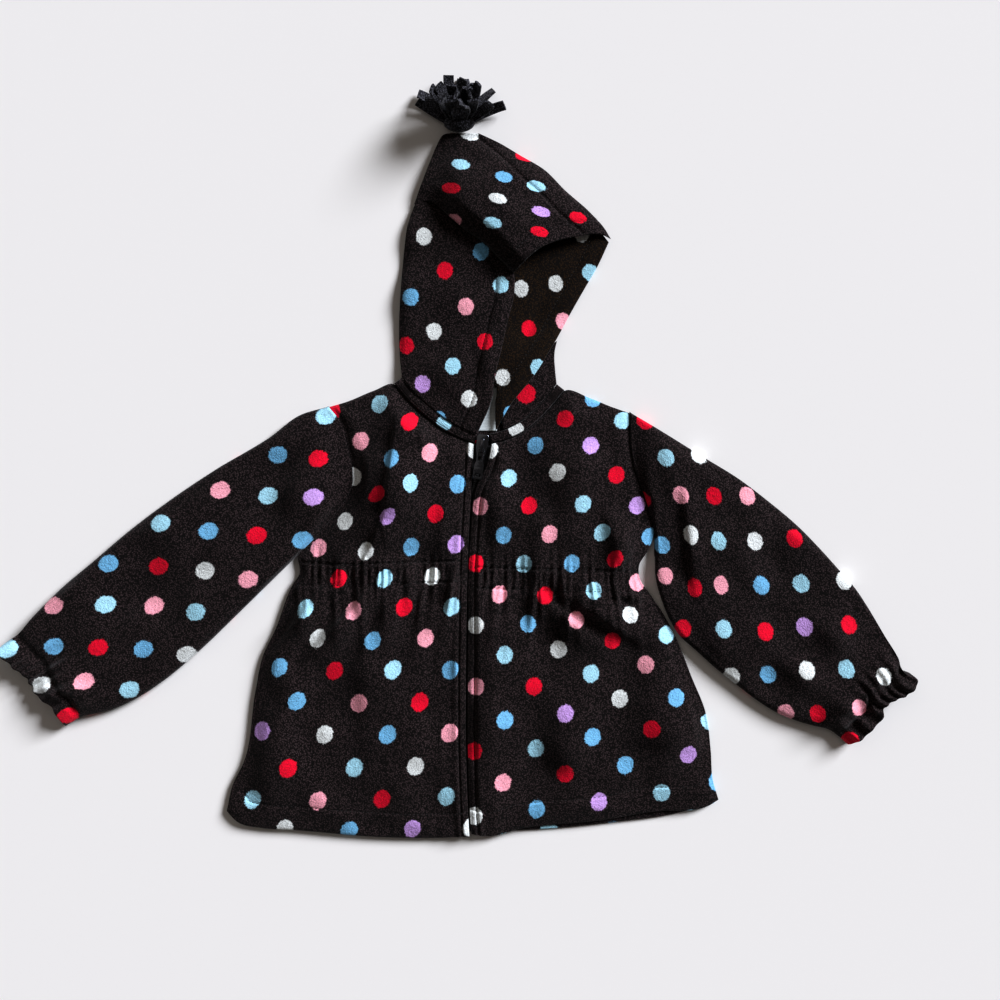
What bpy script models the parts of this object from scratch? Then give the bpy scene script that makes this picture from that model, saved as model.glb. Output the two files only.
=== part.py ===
"""A toddler's hooded zip coat in printed fleece, laid flat on its back with the hood turned to one side.

Millimetres in the tables, metres in the model, +Z up. X runs across the chest to the viewer's right and
Y towards the hood. "left" and "right" in the names are the wearer's, so the right front is at -X.
"""

import math
from collections import namedtuple

import bmesh
import bpy
from mathutils import Matrix, Vector

MM = 0.001

# Driving dimensions, in millimetres.
WALL = 2.2  # one layer of fleece
GAP = 0.3  # clear space at a seam and between two layers that lie on each other
BACK_TOP = WALL
BODY_TOP = BACK_TOP + GAP + WALL  # upper face of a plain second layer
SLEEVE_HEIGHT = 8.0  # two layers of sleeve and the air between them
CUFF_SWELL = 0.9  # the cloth above and below the cuff's elastic, and how far the elastic pulls it in
CUFF_WAVES = 9  # ruffles across the upper face of a cuff
CUFF_WAVE_DEPTH = 1.3
BAND_TOP = 6.4  # the folded band along the neck seam
BAND_ROUND = 1.0  # how far its long edges roll down
RIGHT_GATHERS = 22
LEFT_GATHERS = 16
GATHER_DEPTH = 1.3
GATHER_REACH = 24.0  # how far the gathers run above and below the elastic
WAIST_Y = -91.0
WAIST_ROWS = (0.5, 0.72)  # the share of a front's height that the gathers take
TAPE_WIDTH = 12.0  # one side of the zip
TAPE_TOP = BACK_TOP + GAP + 0.8
COIL_WIDTH = 2.2
COIL_TOP = 5.0
COIL_REACH = 8.0  # how far from the zip's line a front stays above the coil, then above the tape
TAPE_REACH = 22.0
COIL_LIFT = 1.7  # what the coil and the tape add to the height of a front
TAPE_LIFT = 1.1
LABEL_WALL = 0.4
LABEL_TOP = BACK_TOP + GAP + LABEL_WALL
LABEL_CORNERS = ((5, 20), (30, 54))
SLIDER_AT = (18.3, 8.6, 6.5)  # the middle of the slider's body
SLIDER_HEIGHT = 2.4
SLIDER_TOP = SLIDER_AT[2] + SLIDER_HEIGHT / 2
SLIDER_TURN = math.radians(-8)  # the zip leans over at the neck
BRIDGE_WIDTH = 2.4
PIVOT_BACK = -3.0  # the pull's crossbar: its place along the slider and above the slider's top
PIVOT_HEIGHT = 1.25
PULL_THICKNESS = 1.2
TASSEL_ROOT_AT = (0.6, 259.0, 8.6)
TASSEL_ROOT_SIZE = (12.0, 6.8, 8.0)
TASSEL_ROOT_DEPTH = 2.0  # where the strips start inside the root
TASSEL_STEPS = 5
STRIP_WIDTH = 8.2
STRIP_THICKNESS = 2.0
COAT_SHIFT = (-0.2, 0.2)  # brings the middle of the laid coat over the origin

Fold = namedtuple("Fold", "x0 y0 x1 y1 rise left right")

# The strips of the tassel, tier by tier: how many, the first and last direction in degrees, their length,
# how far above the root they start, the slope that they leave at and how far they curl, in degrees.
Tier = namedtuple("Tier", "strips first last length height slope curl")
TASSEL_TIERS = [
    Tier(7, 10, 168, 37, -5.6, -4, 16),
    Tier(6, 21, 158, 35, -1.8, 10, 34),
    Tier(5, 30, 146, 32, 2.0, 26, 46),
    Tier(3, 50, 122, 28, 5.2, 40, 50),
]

# The neck seam along each front, (x, y), with the hood on its left hand.
NECK_RIGHT = [(-50.5, 56.6), (-42, 46), (-29, 33.5), (-12, 20.6), (3, 12.8), (12, 9.6)]
NECK_LEFT = [(25.8, 9.8), (38, 13), (53.4, 20.7), (64.4, 30), (75.3, 41.7), (83, 51.4)]
BAND_START = 1.3  # the band and the hood, measured out from the neck seam
BAND_END = 7.4
HOOD_START = 8.2


def beside(points, distance):
    """The same line, moved to its left hand."""
    moved = []
    for k, (x, y) in enumerate(points):
        (x0, y0), (x1, y1) = points[max(k - 1, 0)], points[min(k + 1, len(points) - 1)]
        length = math.dist((x0, y0), (x1, y1))
        moved.append((x - (y1 - y0) / length * distance, y + (x1 - x0) / length * distance))
    return moved


# Outlines of the pieces as laid, (x, y). Each table runs smoothly through its rows.
RIGHT_FRONT = {
    "low": [(-181, -277), (-172, -285.5), (-153, -290), (-129, -291.5), (-60, -297), (-19, -297.6),
            (8.6, -296)],
    "centre": [(8.6, -296), (7.6, -278), (6.2, -240), (6, -150), (8.2, -60), (10.2, -22), (11.5, 0),
               (12, 9.6)],
    "top": [(-101.5, 38.6), (-88, 42.5), (-66, 51.5), *NECK_RIGHT],
    "side": [(-181, -277), (-176.5, -257), (-167.5, -238), (-158.7, -184), (-152.5, -155), (-143, -135),
             (-130, -101), (-124, -91), (-125, -78), (-112, -63), (-97, -45), (-83.6, -24), (-83.9, -6),
             (-87.6, 10), (-91.5, 25), (-101.5, 38.6)],
}
LEFT_FRONT = {
    "low": [(10, -294), (21, -296), (51, -290), (109, -284.3), (152, -277.3), (195, -272.6), (203, -268)],
    "centre": [(10, -294), (8.8, -279), (7.4, -240), (7.4, -150), (9.4, -60), (14, -24), (23.4, -3),
               (25.8, 9.8)],
    "top": [*NECK_LEFT, (102.6, 45.6), (120, 38.6), (133.4, 34)],
    "side": [(203, -268), (198.5, -252), (197, -230), (193, -200), (182, -172), (170.4, -143),
             (158.7, -121), (147.8, -105), (141.4, -95), (141, -85), (147.5, -74), (152.6, -61),
             (145, -31), (136.5, -6), (134.2, 10), (133.4, 34)],
}
BACK = {
    "low": [(-178, -274), (-166, -282), (-129, -287), (-60, -292), (20, -293), (70, -291), (120, -286),
            (170, -279), (200, -271)],
    "right": [(200, -271), (194, -230), (190, -200), (179, -172), (156, -121), (138, -93), (144, -76),
              (149, -61), (142, -31), (133.5, -6), (131.3, 10), (131, 31)],
    "top": [(-98, 36), (-88, 39.5), (-66, 48.5), (-46, 56), (-10, 55.5), (40, 54.5), (80, 52.5),
            (102, 42.6), (120, 35.4), (131, 31)],
    "left": [(-178, -274), (-164, -238), (-155, -184), (-149, -155), (-139.5, -135), (-126.5, -101),
             (-120.5, -90), (-120.5, -78), (-109, -64), (-94, -45), (-80.8, -24), (-81, -6), (-84.6, 10),
             (-88.5, 25), (-98, 36)],
}
RIGHT_SLEEVE = {
    "top": [(-102.4, 38.9), (-123.6, 32.4), (-147, 15.2), (-190, -10.5), (-225, -34), (-256, -57.3),
            (-283.5, -80.7), (-311, -104), (-330.3, -123.6), (-342.6, -138), (-351.4, -144)],
    "cuff": [(-351.4, -144), (-356, -150.5), (-351.4, -157), (-343.6, -165), (-335, -172.5),
             (-327.5, -184.5), (-313.5, -196.5), (-306.2, -210)],
    "under": [(-126.5, -77.8), (-147, -98), (-170.4, -121), (-201.6, -151), (-229, -174), (-248.4, -187),
              (-267, -196), (-281, -200), (-294, -203), (-306.2, -210)],
    "armhole": [(-102.4, 38.9), (-92, 25.2), (-88.1, 10), (-84.4, -6), (-84.1, -24), (-97.4, -45.5),
                (-112.4, -63.4), (-126.5, -77.8)],
}
LEFT_SLEEVE = {
    "top": [(134.2, 34.4), (157, 20.7), (188.4, 1.2), (220, -18.3), (240.6, -34), (264.4, -54),
            (283, -73), (297.6, -89.3), (308, -101), (320, -119), (330, -137), (338, -151.7),
            (342.6, -164.5), (351.4, -168.5)],
    "cuff": [(351.4, -168.5), (356, -173.6), (348.3, -184.5), (338, -189), (329.6, -195), (328.4, -203),
             (321, -211), (313.9, -218.8), (303.8, -224.5)],
    "under": [(153.6, -78.4), (154, -95.5), (158.6, -112), (165, -127.5), (172, -139), (185, -151),
              (203, -167), (217, -178), (233.6, -190.7), (250.8, -201), (266.4, -207), (277.3, -210),
              (288, -212.5), (303.8, -224.5)],
    "armhole": [(134.2, 34.4), (134.8, 10), (137, -6), (145.6, -31), (153.3, -61), (153.6, -78.4)],
}
HOOD_RIGHT_LOW = beside(NECK_RIGHT, HOOD_START)
HOOD_RIGHT = {
    "low": HOOD_RIGHT_LOW,
    "front": [HOOD_RIGHT_LOW[-1], (26.6, 47.2), (27.7, 57.3), (34.7, 88), (38.6, 106.5), (43.3, 125),
              (43.3, 144), (36, 166)],
    "top": [(-24, 214), (-8, 206), (8, 195), (24, 182), (36, 166)],
    "back": [HOOD_RIGHT_LOW[0], (-45.6, 75), (-46.4, 98.7), (-45, 130), (-42.5, 161), (-39.6, 180.6),
             (-34.5, 196), (-24, 214)],
}
HOOD_LEFT = {
    "low": [(-39, 62.4), (-10, 61), (20, 60), (28.6, 57), (28.6, 40), (29, 19.8)],
    "edge": [(29, 19.8), (40.2, 39.4), (58.9, 63), (74.5, 88), (87, 111), (99.5, 133), (108, 147.5),
             (117.4, 167.5)],
    "top": [(-31, 198), (-26, 211), (-19, 229), (-10, 248.4), (14, 249), (31, 241.4), (47, 232),
            (66, 220.5), (81.4, 205), (101, 188), (117.4, 167.5)],
    "back": [(-39, 62.4), (-41, 76), (-42, 99), (-40.6, 130), (-38, 161), (-35.4, 181), (-31, 198)],
}
HOOD_TURN_LOW = beside(NECK_LEFT, HOOD_START)[1:]
HOOD_TURN = {
    "low": HOOD_TURN_LOW,
    "side": [HOOD_TURN_LOW[-1], (75.6, 66), (75.3, 83), (77, 90.5)],
    "top": [(33, 31), (40, 43), (56, 67.5), (66, 83), (77, 90.5)],
    "edge": [HOOD_TURN_LOW[0], (33, 31)],
}
CROWN = {
    "fold": [(-34.7, 197), (-22, 198.6), (-8.2, 188), (6, 175.6), (20, 166), (32.4, 153.3), (43.3, 143)],
    "mouth": [(43.3, 143), (51, 150), (62, 159.5), (79, 167.3), (95, 171), (112, 172.6), (119, 169.7)],
    "back": [(16, 252.3), (32.4, 244.5), (48, 235.2), (67.5, 223.5), (83, 208), (102.6, 190.7),
             (114, 178), (119, 169.7)],
    "peak": [(-34.7, 197), (-30, 209.4), (-22.2, 229.7), (-17.6, 241.4), (-12, 251), (1, 252.3),
             (16, 252.3)],
}
ZIP_LINE = [(9.3, -292), (8.2, -277), (6.8, -240), (6.7, -150), (8.8, -60), (12.2, -23), (16.8, 0),
            (18.3, 9.6)]

# The slider and its pull, each about its own origin: +Y is towards the hood, and the pull's origin is its
# crossbar. The bridge is drawn from the side, so its points are (along the slider, above its top).
SLIDER_OUTLINE = [(-4.8, 6.6), (-3.8, 8.6), (3.8, 8.6), (4.8, 6.6), (4.6, 1), (3.4, -7.8), (2.6, -8.8),
                  (-2.6, -8.8), (-3.4, -7.8), (-4.6, 1)]
BRIDGE_OUTLINE = [(-6, -0.2), (-6, 1.6), (-5.2, 2.9), (-3.6, 3.5), (3.6, 3.5), (5.2, 2.9), (6, 1.6),
                  (6, -0.2), (4.8, -0.2), (4.8, 1.4), (4.2, 2.2), (3.2, 2.5), (-3.2, 2.5), (-4.2, 2.2),
                  (-4.8, 1.4), (-4.8, -0.2)]
PULL_OUTLINE = [(-2.7, 0.6), (2.7, 0.6), (2.7, -9.6), (3.7, -12.4), (3.9, -22.6), (3.3, -23.6),
                (-3.3, -23.6), (-3.9, -22.6), (-3.7, -12.4), (-2.7, -9.6)]
PULL_SLOT = [(-1.6, -0.6), (1.6, -0.6), (1.6, -9), (-1.6, -9)]
PULL_WINDOW = [(-2.2, -19), (2.2, -19), (2.2, -21.6), (-2.2, -21.6)]

# The main folds: the crest from one end to the other, its rise, and how far each flank reaches.
# "left" is the flank on the left hand of someone who walks along the crest.
RIGHT_FRONT_FOLDS = [
    Fold(-45, 30, -57, -56, 5.5, 20, 5),
    Fold(-57, -56, -72, -84, 3.0, 16, 5),
    Fold(-28, 30, -27, 12, 1.5, 8, 4),
    Fold(-99, -100, -140, -150, 3.4, 7, 6),
    Fold(-60, -104, -112, -152, 3.6, 8, 6),
    Fold(-40, -106, -72, -150, 2.6, 7, 7),
    Fold(-10, -40, -16, -86, 1.6, 9, 9),
    Fold(-85, -170, -70, -262, 1.2, 16, 18),
    Fold(-128, -190, -138, -262, 1.4, 12, 14),
]
LEFT_FRONT_FOLDS = [
    Fold(118, -106, 156, -116, 3.4, 14, 5),
    Fold(66, -112, 112, -140, 2.2, 5, 12),
    Fold(116, -40, 128, -84, 3.0, 9, 8),
    Fold(88, -128, 82, -230, 1.3, 16, 16),
    Fold(128, -214, 188, -222, 1.8, 14, 9),
    Fold(160, -128, 178, -196, 2.2, 12, 9),
    Fold(60, -20, 66, -76, 1.2, 12, 12),
]
RIGHT_SLEEVE_FOLDS = [
    Fold(-150, 2, -240, -66, 1.4, 10, 12),
    Fold(-118, 6, -136, -66, 1.8, 12, 10),
    Fold(-316, -186, -294, -178, 3.0, 6, 6),
    Fold(-322, -172, -302, -162, 2.2, 5, 7),
    Fold(-236, -120, -292, -150, 1.5, 12, 12),
]
LEFT_SLEEVE_FOLDS = [
    Fold(176, -24, 184, -104, 2.6, 9, 6),
    Fold(214, -44, 232, -118, 1.2, 14, 14),
    Fold(272, -120, 312, -160, 2.0, 12, 9),
    Fold(236, -150, 292, -186, 1.8, 11, 11),
    Fold(308, -188, 296, -206, 2.4, 6, 7),
]
HOOD_RIGHT_FOLDS = [
    Fold(-20, 192, 30, 140, -1.4, 9, 9),
    Fold(-36, 70, -34, 176, 1.6, 9, 12),
    Fold(24, 60, 38, 124, 1.4, 7, 6),
    Fold(-24, 60, 2, 34, -0.9, 7, 7),
]
CROWN_FOLDS = [
    Fold(8, 246, 68, 194, -1.6, 3.5, 3.5),
    Fold(68, 194, 98, 174, -1.4, 3.5, 3.5),
    Fold(-8, 240, 6, 196, 1.6, 9, 9),
]

Cloth = namedtuple("Cloth", "name colour")
FLEECE = Cloth("printed fleece", "1E1918")
TASSEL_FLEECE = Cloth("plain fleece", "1C1B1E")
TAPE = Cloth("zip tape", "16151A")
LABEL = Cloth("woven label", "DCE4E4")
CLOTH_ROUGHNESS = 0.9


def smooth(t):
    """0 up to t = 0 and 1 from t = 1 on, eased between."""
    t = min(max(t, 0.0), 1.0)
    return t * t * (3 - 2 * t)


def along(points, t):
    """The point at share t of the length of the smooth curve through a table of points."""
    steps = [math.dist(a, b) for a, b in zip(points, points[1:])]
    target = min(max(t, 0.0), 1.0) * sum(steps)
    i = 0
    while i < len(steps) - 1 and target > steps[i]:
        target -= steps[i]
        i += 1

    def tangent(k):
        if k == 0 or k == len(points) - 1:
            a = min(k, len(points) - 2)
            return [(q - p) / steps[a] for p, q in zip(points[a], points[a + 1])]
        before, after = steps[k - 1], steps[k]
        return [
            ((r - q) / after * before + (q - p) / before * after) / (before + after)
            for p, q, r in zip(points[k - 1], points[k], points[k + 1])
        ]

    s = target / steps[i]
    ends = zip(points[i], points[i + 1], tangent(i), tangent(i + 1))
    return [
        (2 * s**3 - 3 * s**2 + 1) * p
        + (3 * s**2 - 2 * s**3) * q
        + ((s**3 - 2 * s**2 + s) * m + (s**3 - s**2) * n) * steps[i]
        for p, q, m, n in ends
    ]


def patch(low, right, top, left, u, v):
    """Where (u, v) of the unit square falls between four edges, each run in the way that u or v grows."""
    sides = zip(along(low, u), along(top, u), along(left, v), along(right, v))
    corners = zip(low[0], low[-1], top[0], top[-1])
    return [
        (1 - v) * b + v * t + (1 - u) * a + u * r
        - (1 - u) * (1 - v) * c0 - u * (1 - v) * c1 - (1 - u) * v * c2 - u * v * c3
        for (b, t, a, r), (c0, c1, c2, c3) in zip(sides, corners)
    ]


def folds(table, x, y):
    """The height that a table of folds adds at a point of the cloth."""
    height = 0.0
    for fold in table:
        run = (fold.x1 - fold.x0, fold.y1 - fold.y0)
        length = math.hypot(*run)
        share = ((x - fold.x0) * run[0] + (y - fold.y0) * run[1]) / length**2
        held = min(max(share, 0.0), 1.0)
        away = math.hypot(x - fold.x0 - held * run[0], y - fold.y0 - held * run[1])
        side = run[0] * (y - fold.y0) - run[1] * (x - fold.x0)
        flank = fold.left if side > 0 else fold.right
        height += fold.rise * math.exp(-((away / flank) ** 2)) * (0.35 + 0.65 * math.sin(math.pi * held))
    return height


def zip_offset(x, y):
    """How far a point lies from the zip's line, measured across."""
    below = [p for p in ZIP_LINE if p[1] <= y] or ZIP_LINE[:1]
    above = [p for p in ZIP_LINE if p[1] > y] or ZIP_LINE[-1:]
    (x0, y0), (x1, y1) = below[-1], above[0]
    share = (y - y0) / (y1 - y0) if y1 > y0 else 0.0
    return abs(x - x0 - share * (x1 - x0))


def material(name, colour, roughness, metallic=0.0):
    found = bpy.data.materials.get(name)
    if found:
        return found
    made = bpy.data.materials.new(name)
    made.use_nodes = True
    shader = made.node_tree.nodes["Principled BSDF"]
    srgb = [int(colour[i : i + 2], 16) / 255 for i in (0, 2, 4)]
    linear = [((c + 0.055) / 1.055) ** 2.4 if c > 0.04 else c / 12.92 for c in srgb]
    shader.inputs["Base Color"].default_value = (*linear, 1)
    shader.inputs["Roughness"].default_value = roughness
    shader.inputs["Metallic"].default_value = metallic
    return made


def finish(mesh, name, cloth):
    """Turns a bmesh in millimetres into the named object, in metres, in the coat's collection."""
    bmesh.ops.translate(mesh, vec=(*COAT_SHIFT, 0), verts=mesh.verts[:])
    bmesh.ops.scale(mesh, vec=(MM, MM, MM), verts=mesh.verts[:])
    bmesh.ops.recalc_face_normals(mesh, faces=mesh.faces[:])
    data = bpy.data.meshes.new(name)
    mesh.to_mesh(data)
    mesh.free()
    data.shade_smooth()
    made = bpy.data.objects.new(name, data)
    made.data.materials.append(material(cloth.name, cloth.colour, CLOTH_ROUGHNESS))
    coat.objects.link(made)
    return made


def eased(t):
    """Grid lines drawn closer together towards both edges, where cloth rolls over."""
    return 0.45 * t + 0.55 * (0.5 - 0.5 * math.cos(math.pi * t))


def panel(name, edges, across, down, top, rest, cloth=FLEECE, wall=WALL, waist=None, spacing=eased):
    """A layer of cloth: a grid between four edges, lifted to top(x, y, u, v), its under side a wall down."""
    mesh = bmesh.new()
    bmesh.ops.create_grid(mesh, x_segments=across, y_segments=down, size=0.5)
    if waist:
        # Twice the columns where the cloth is gathered, so that each gather has a crest and a hollow.
        low, high = waist
        cross = [
            edge
            for edge in mesh.edges
            if abs(edge.verts[0].co.y - edge.verts[1].co.y) < 1e-6 and low < edge.verts[0].co.y + 0.5 < high
        ]
        bmesh.ops.subdivide_edges(mesh, edges=cross, cuts=1, use_grid_fill=True)
    for vert in mesh.verts:
        u = vert.co.x + 0.5
        v = vert.co.y + 0.5
        x, y = patch(*edges, spacing(u), v)
        vert.co = (x, y, top(x, y, u, v))
    mesh.normal_update()
    under = {vert: vert.co.z - wall * min(1 / max(abs(vert.normal.z), 0.1), 1.8) for vert in mesh.verts}
    bmesh.ops.extrude_face_region(mesh, geom=mesh.faces[:])
    for vert, z in under.items():
        vert.co.z = max(z, rest(vert.co.x, vert.co.y))
    return finish(mesh, name, cloth)


def edge_fade(u, v, reach=0.12):
    """Folds die away towards a seam."""
    return smooth(min(u, 1 - u, v, 1 - v) / reach)


def front_top(table, gathers, side_at_start):
    """The upper face of a front: folds, waist gathers, the lift over the zip and the rolled side seam."""

    def top(x, y, u, v):
        across = zip_offset(x, y)
        over_tape = TAPE_LIFT * smooth((TAPE_REACH + 6 - across) / 8)
        over_coil = COIL_LIFT * smooth((COIL_REACH + 5 - across) / 5)
        waist = smooth(1 - abs(y - WAIST_Y) / GATHER_REACH)
        lively = 0.75 + 0.25 * math.sin(11 * u + 1.3)
        gather = 0.5 - 0.5 * math.cos(2 * math.pi * gathers * u)
        gather *= GATHER_DEPTH * lively * waist * smooth((1 - abs(2 * u - 1)) / 0.08)
        from_side = u if side_at_start else 1 - u
        side_roll = 0.9 * (1 - smooth(from_side / 0.035))
        hem_roll = 0.5 * (1 - smooth(v / 0.05))
        creases = folds(table, x, y) * edge_fade(u, v)
        return BODY_TOP + over_tape + over_coil + creases + gather - side_roll - hem_roll

    return top


def front_rest(x, y):
    """What a front lies on: the back, the zip's tape and its coil."""
    across = zip_offset(x, y)
    if across < COIL_REACH:
        return COIL_TOP + GAP
    if across < TAPE_REACH:
        return TAPE_TOP + GAP
    return BACK_TOP + GAP


def tube_ring(width, height, inset, corner_steps, upper_steps, lower_steps):
    """Points (distance across, height) round a flattened ring of cloth: foot, near side, top, far side."""
    radius = height / 2
    inner = radius - inset
    ring = []
    for k in range(corner_steps + 1):
        turn = math.pi - math.pi / 2 * k / corner_steps
        ring.append((radius + inner * math.cos(turn), radius + inner * math.sin(turn)))
    for k in range(1, upper_steps):
        ring.append((radius + (width - height) * k / upper_steps, height - inset))
    for k in range(2 * corner_steps + 1):
        turn = math.pi / 2 - math.pi * k / (2 * corner_steps)
        ring.append((width - radius + inner * math.cos(turn), radius + inner * math.sin(turn)))
    for k in range(1, lower_steps):
        ring.append((width - radius - (width - height) * k / lower_steps, inset))
    for k in range(corner_steps + 1):
        turn = -math.pi / 2 - math.pi / 2 * k / corner_steps
        ring.append((radius + inner * math.cos(turn), radius + inner * math.sin(turn)))
    return ring


def sleeve(name, outline, table, rows=15):
    """A flattened tube with both ends open: an outer skin run down to the cuff and an inner one back."""
    corner_steps, upper_steps, lower_steps = 2, 13, 7
    around = len(tube_ring(100, SLEEVE_HEIGHT, 0, corner_steps, upper_steps, lower_steps)) - 1
    mesh = bmesh.new()
    bmesh.ops.create_grid(mesh, x_segments=around, y_segments=2 * rows + 2, size=0.5)
    for vert in mesh.verts:
        i = round((vert.co.x + 0.5) * around)
        j = round((vert.co.y + 0.5) * (2 * rows + 2)) % (2 * rows + 2)
        inside = j > rows
        row = 2 * rows + 1 - j if inside else j
        s = row / rows
        s = 0.6 * s + 0.4 * (1 - (1 - s) ** 2)
        width = math.dist(along(outline["top"], s), along(outline["under"], s))
        cuff = smooth((s - 0.8) / 0.12)
        pinch = smooth(1 - abs(s - 0.945) / 0.035)
        height = SLEEVE_HEIGHT + CUFF_SWELL * cuff
        ring = tube_ring(width, height, WALL if inside else 0, corner_steps, upper_steps, lower_steps)
        reach, z = ring[i]
        w = reach / width
        x, y = patch(outline["armhole"], outline["under"], outline["cuff"], outline["top"], w, s)
        middle = smooth(min(w, 1 - w) / 0.1)
        if z > height / 2:
            ruffle = CUFF_WAVE_DEPTH * math.sin(2 * math.pi * CUFF_WAVES * w)
            swell = cuff * (CUFF_SWELL * (1 - pinch) + ruffle) - CUFF_SWELL * pinch
            creases = folds(table, x, y) * smooth(s / 0.06) * smooth((1 - s) / 0.04)
            z += (creases + swell) * middle
        vert.co = (x, y, z)
    bmesh.ops.remove_doubles(mesh, verts=mesh.verts[:], dist=1e-4)
    return finish(mesh, name, FLEECE)


def in_order(outline, low, right, top, left):
    return outline[low], outline[right], outline[top], outline[left]


def table_top(x, y):
    return 0.0


def build_body():
    back_edges = in_order(BACK, "low", "right", "top", "left")
    panel("back", back_edges, 16, 18, lambda x, y, u, v: BACK_TOP, table_top)
    panel(
        "front_right",
        in_order(RIGHT_FRONT, "low", "centre", "top", "side"),
        RIGHT_GATHERS,
        22,
        front_top(RIGHT_FRONT_FOLDS, RIGHT_GATHERS, True),
        front_rest,
        waist=WAIST_ROWS,
    )
    panel(
        "front_left",
        in_order(LEFT_FRONT, "low", "side", "top", "centre"),
        LEFT_GATHERS,
        22,
        front_top(LEFT_FRONT_FOLDS, LEFT_GATHERS, False),
        front_rest,
        waist=WAIST_ROWS,
    )
    sleeve("sleeve_right", RIGHT_SLEEVE, RIGHT_SLEEVE_FOLDS)
    sleeve("sleeve_left", LEFT_SLEEVE, LEFT_SLEEVE_FOLDS)


def turn_lift(x, y):
    """The turned side of the hood lies on the back's neck, then comes down to the table."""
    return (BACK_TOP + GAP) * (1 - smooth((y - 56) / 26))


def left_lift(x, y):
    """The far side of the hood climbs over its own turned part at the neck."""
    return 5.0 * (1 - smooth((y - 74) / 40)) * smooth((x - 6) / 20)


def right_lift(x, y):
    return max((BACK_TOP + GAP) * (1 - smooth((y - 62) / 26)), left_lift(x, y))


def hood_left_top(x, y, u, v):
    hem_roll = 1.2 * smooth((u - 0.86) / 0.1) * smooth(v / 0.08) * (1 - smooth((v - 0.75) / 0.2))
    return BACK_TOP + left_lift(x, y) + hem_roll


def hood_turn_top(x, y, u, v):
    return BACK_TOP + turn_lift(x, y)


def hood_right_top(x, y, u, v):
    hem_edge = smooth((u - 0.84) / 0.08) * (1 - 0.5 * smooth((u - 0.97) / 0.03))
    back_roll = 1.0 * (1 - smooth(u / 0.05))
    bulge = 2.6 * math.sin(math.pi * u) * smooth((v - 0.02) / 0.2) * (1 - 0.6 * smooth((v - 0.75) / 0.25))
    creases = folds(HOOD_RIGHT_FOLDS, x, y) * edge_fade(u, v)
    return BODY_TOP + right_lift(x, y) + hem_edge - back_roll + bulge + creases


def crown_top(x, y, u, v):
    """The crown swells over the hood's mouth: steep at the fold, easing down to the back seam."""
    clear = 2.6 * (1 - smooth((v - 0.3) / 0.3))
    swell = 15.0 * smooth(u / 0.45) * (1 - 0.22 * smooth((u - 0.75) / 0.25))
    section = 0.42 + 0.58 * smooth(v / 0.16)
    section *= math.cos(math.pi / 2 * max(0.0, (v - 0.16) / 0.84)) ** 0.8
    return BODY_TOP + clear + swell * section + folds(CROWN_FOLDS, x, y) * edge_fade(u, v, 0.06)


def build_hood():
    second_layer = BACK_TOP + GAP
    panel(
        "hood_left_side",
        in_order(HOOD_LEFT, "low", "edge", "top", "back"),
        12,
        14,
        hood_left_top,
        left_lift,
    )
    panel(
        "hood_left_turn",
        in_order(HOOD_TURN, "low", "side", "top", "edge"),
        8,
        4,
        hood_turn_top,
        turn_lift,
    )
    panel(
        "hood_right_side",
        in_order(HOOD_RIGHT, "low", "front", "top", "back"),
        12,
        14,
        hood_right_top,
        lambda x, y: second_layer + left_lift(x, y),
    )
    panel(
        "hood_crown",
        in_order(CROWN, "fold", "mouth", "back", "peak"),
        16,
        12,
        crown_top,
        lambda x, y: second_layer,
    )


def on_back(x, y):
    return BACK_TOP + GAP


def strip(name, line, start, end, steps, top, cloth=FLEECE, spacing=eased):
    """A flat strip from `start` to `end` out from a line, filled from the back up to its own top."""
    inner = beside(line, start)
    outer = beside(line, end)
    edges = ([inner[0], outer[0]], outer, [inner[-1], outer[-1]], inner)
    panel(name, edges, 3, steps, top, on_back, cloth, wall=COIL_TOP, spacing=spacing)


def band_top(x, y, u, v):
    return BAND_TOP - BAND_ROUND + BAND_ROUND * math.sin(math.pi * u)


def build_neck():
    strip("neck_band_right", NECK_RIGHT, BAND_START, BAND_END, 14, band_top)
    strip("neck_band_left", NECK_LEFT, BAND_START, BAND_END, 14, band_top)
    (x0, y0), (x1, y1) = LABEL_CORNERS
    label_edges = ([(x0, y0), (x1, y0)], [(x1, y0), (x1, y1)], [(x0, y1), (x1, y1)], [(x0, y0), (x0, y1)])
    panel("neck_label", label_edges, 2, 2, lambda x, y, u, v: LABEL_TOP, on_back, LABEL, LABEL_WALL)


def tape_top(x, y, u, v):
    return COIL_TOP if u < 0.4 else TAPE_TOP


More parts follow.
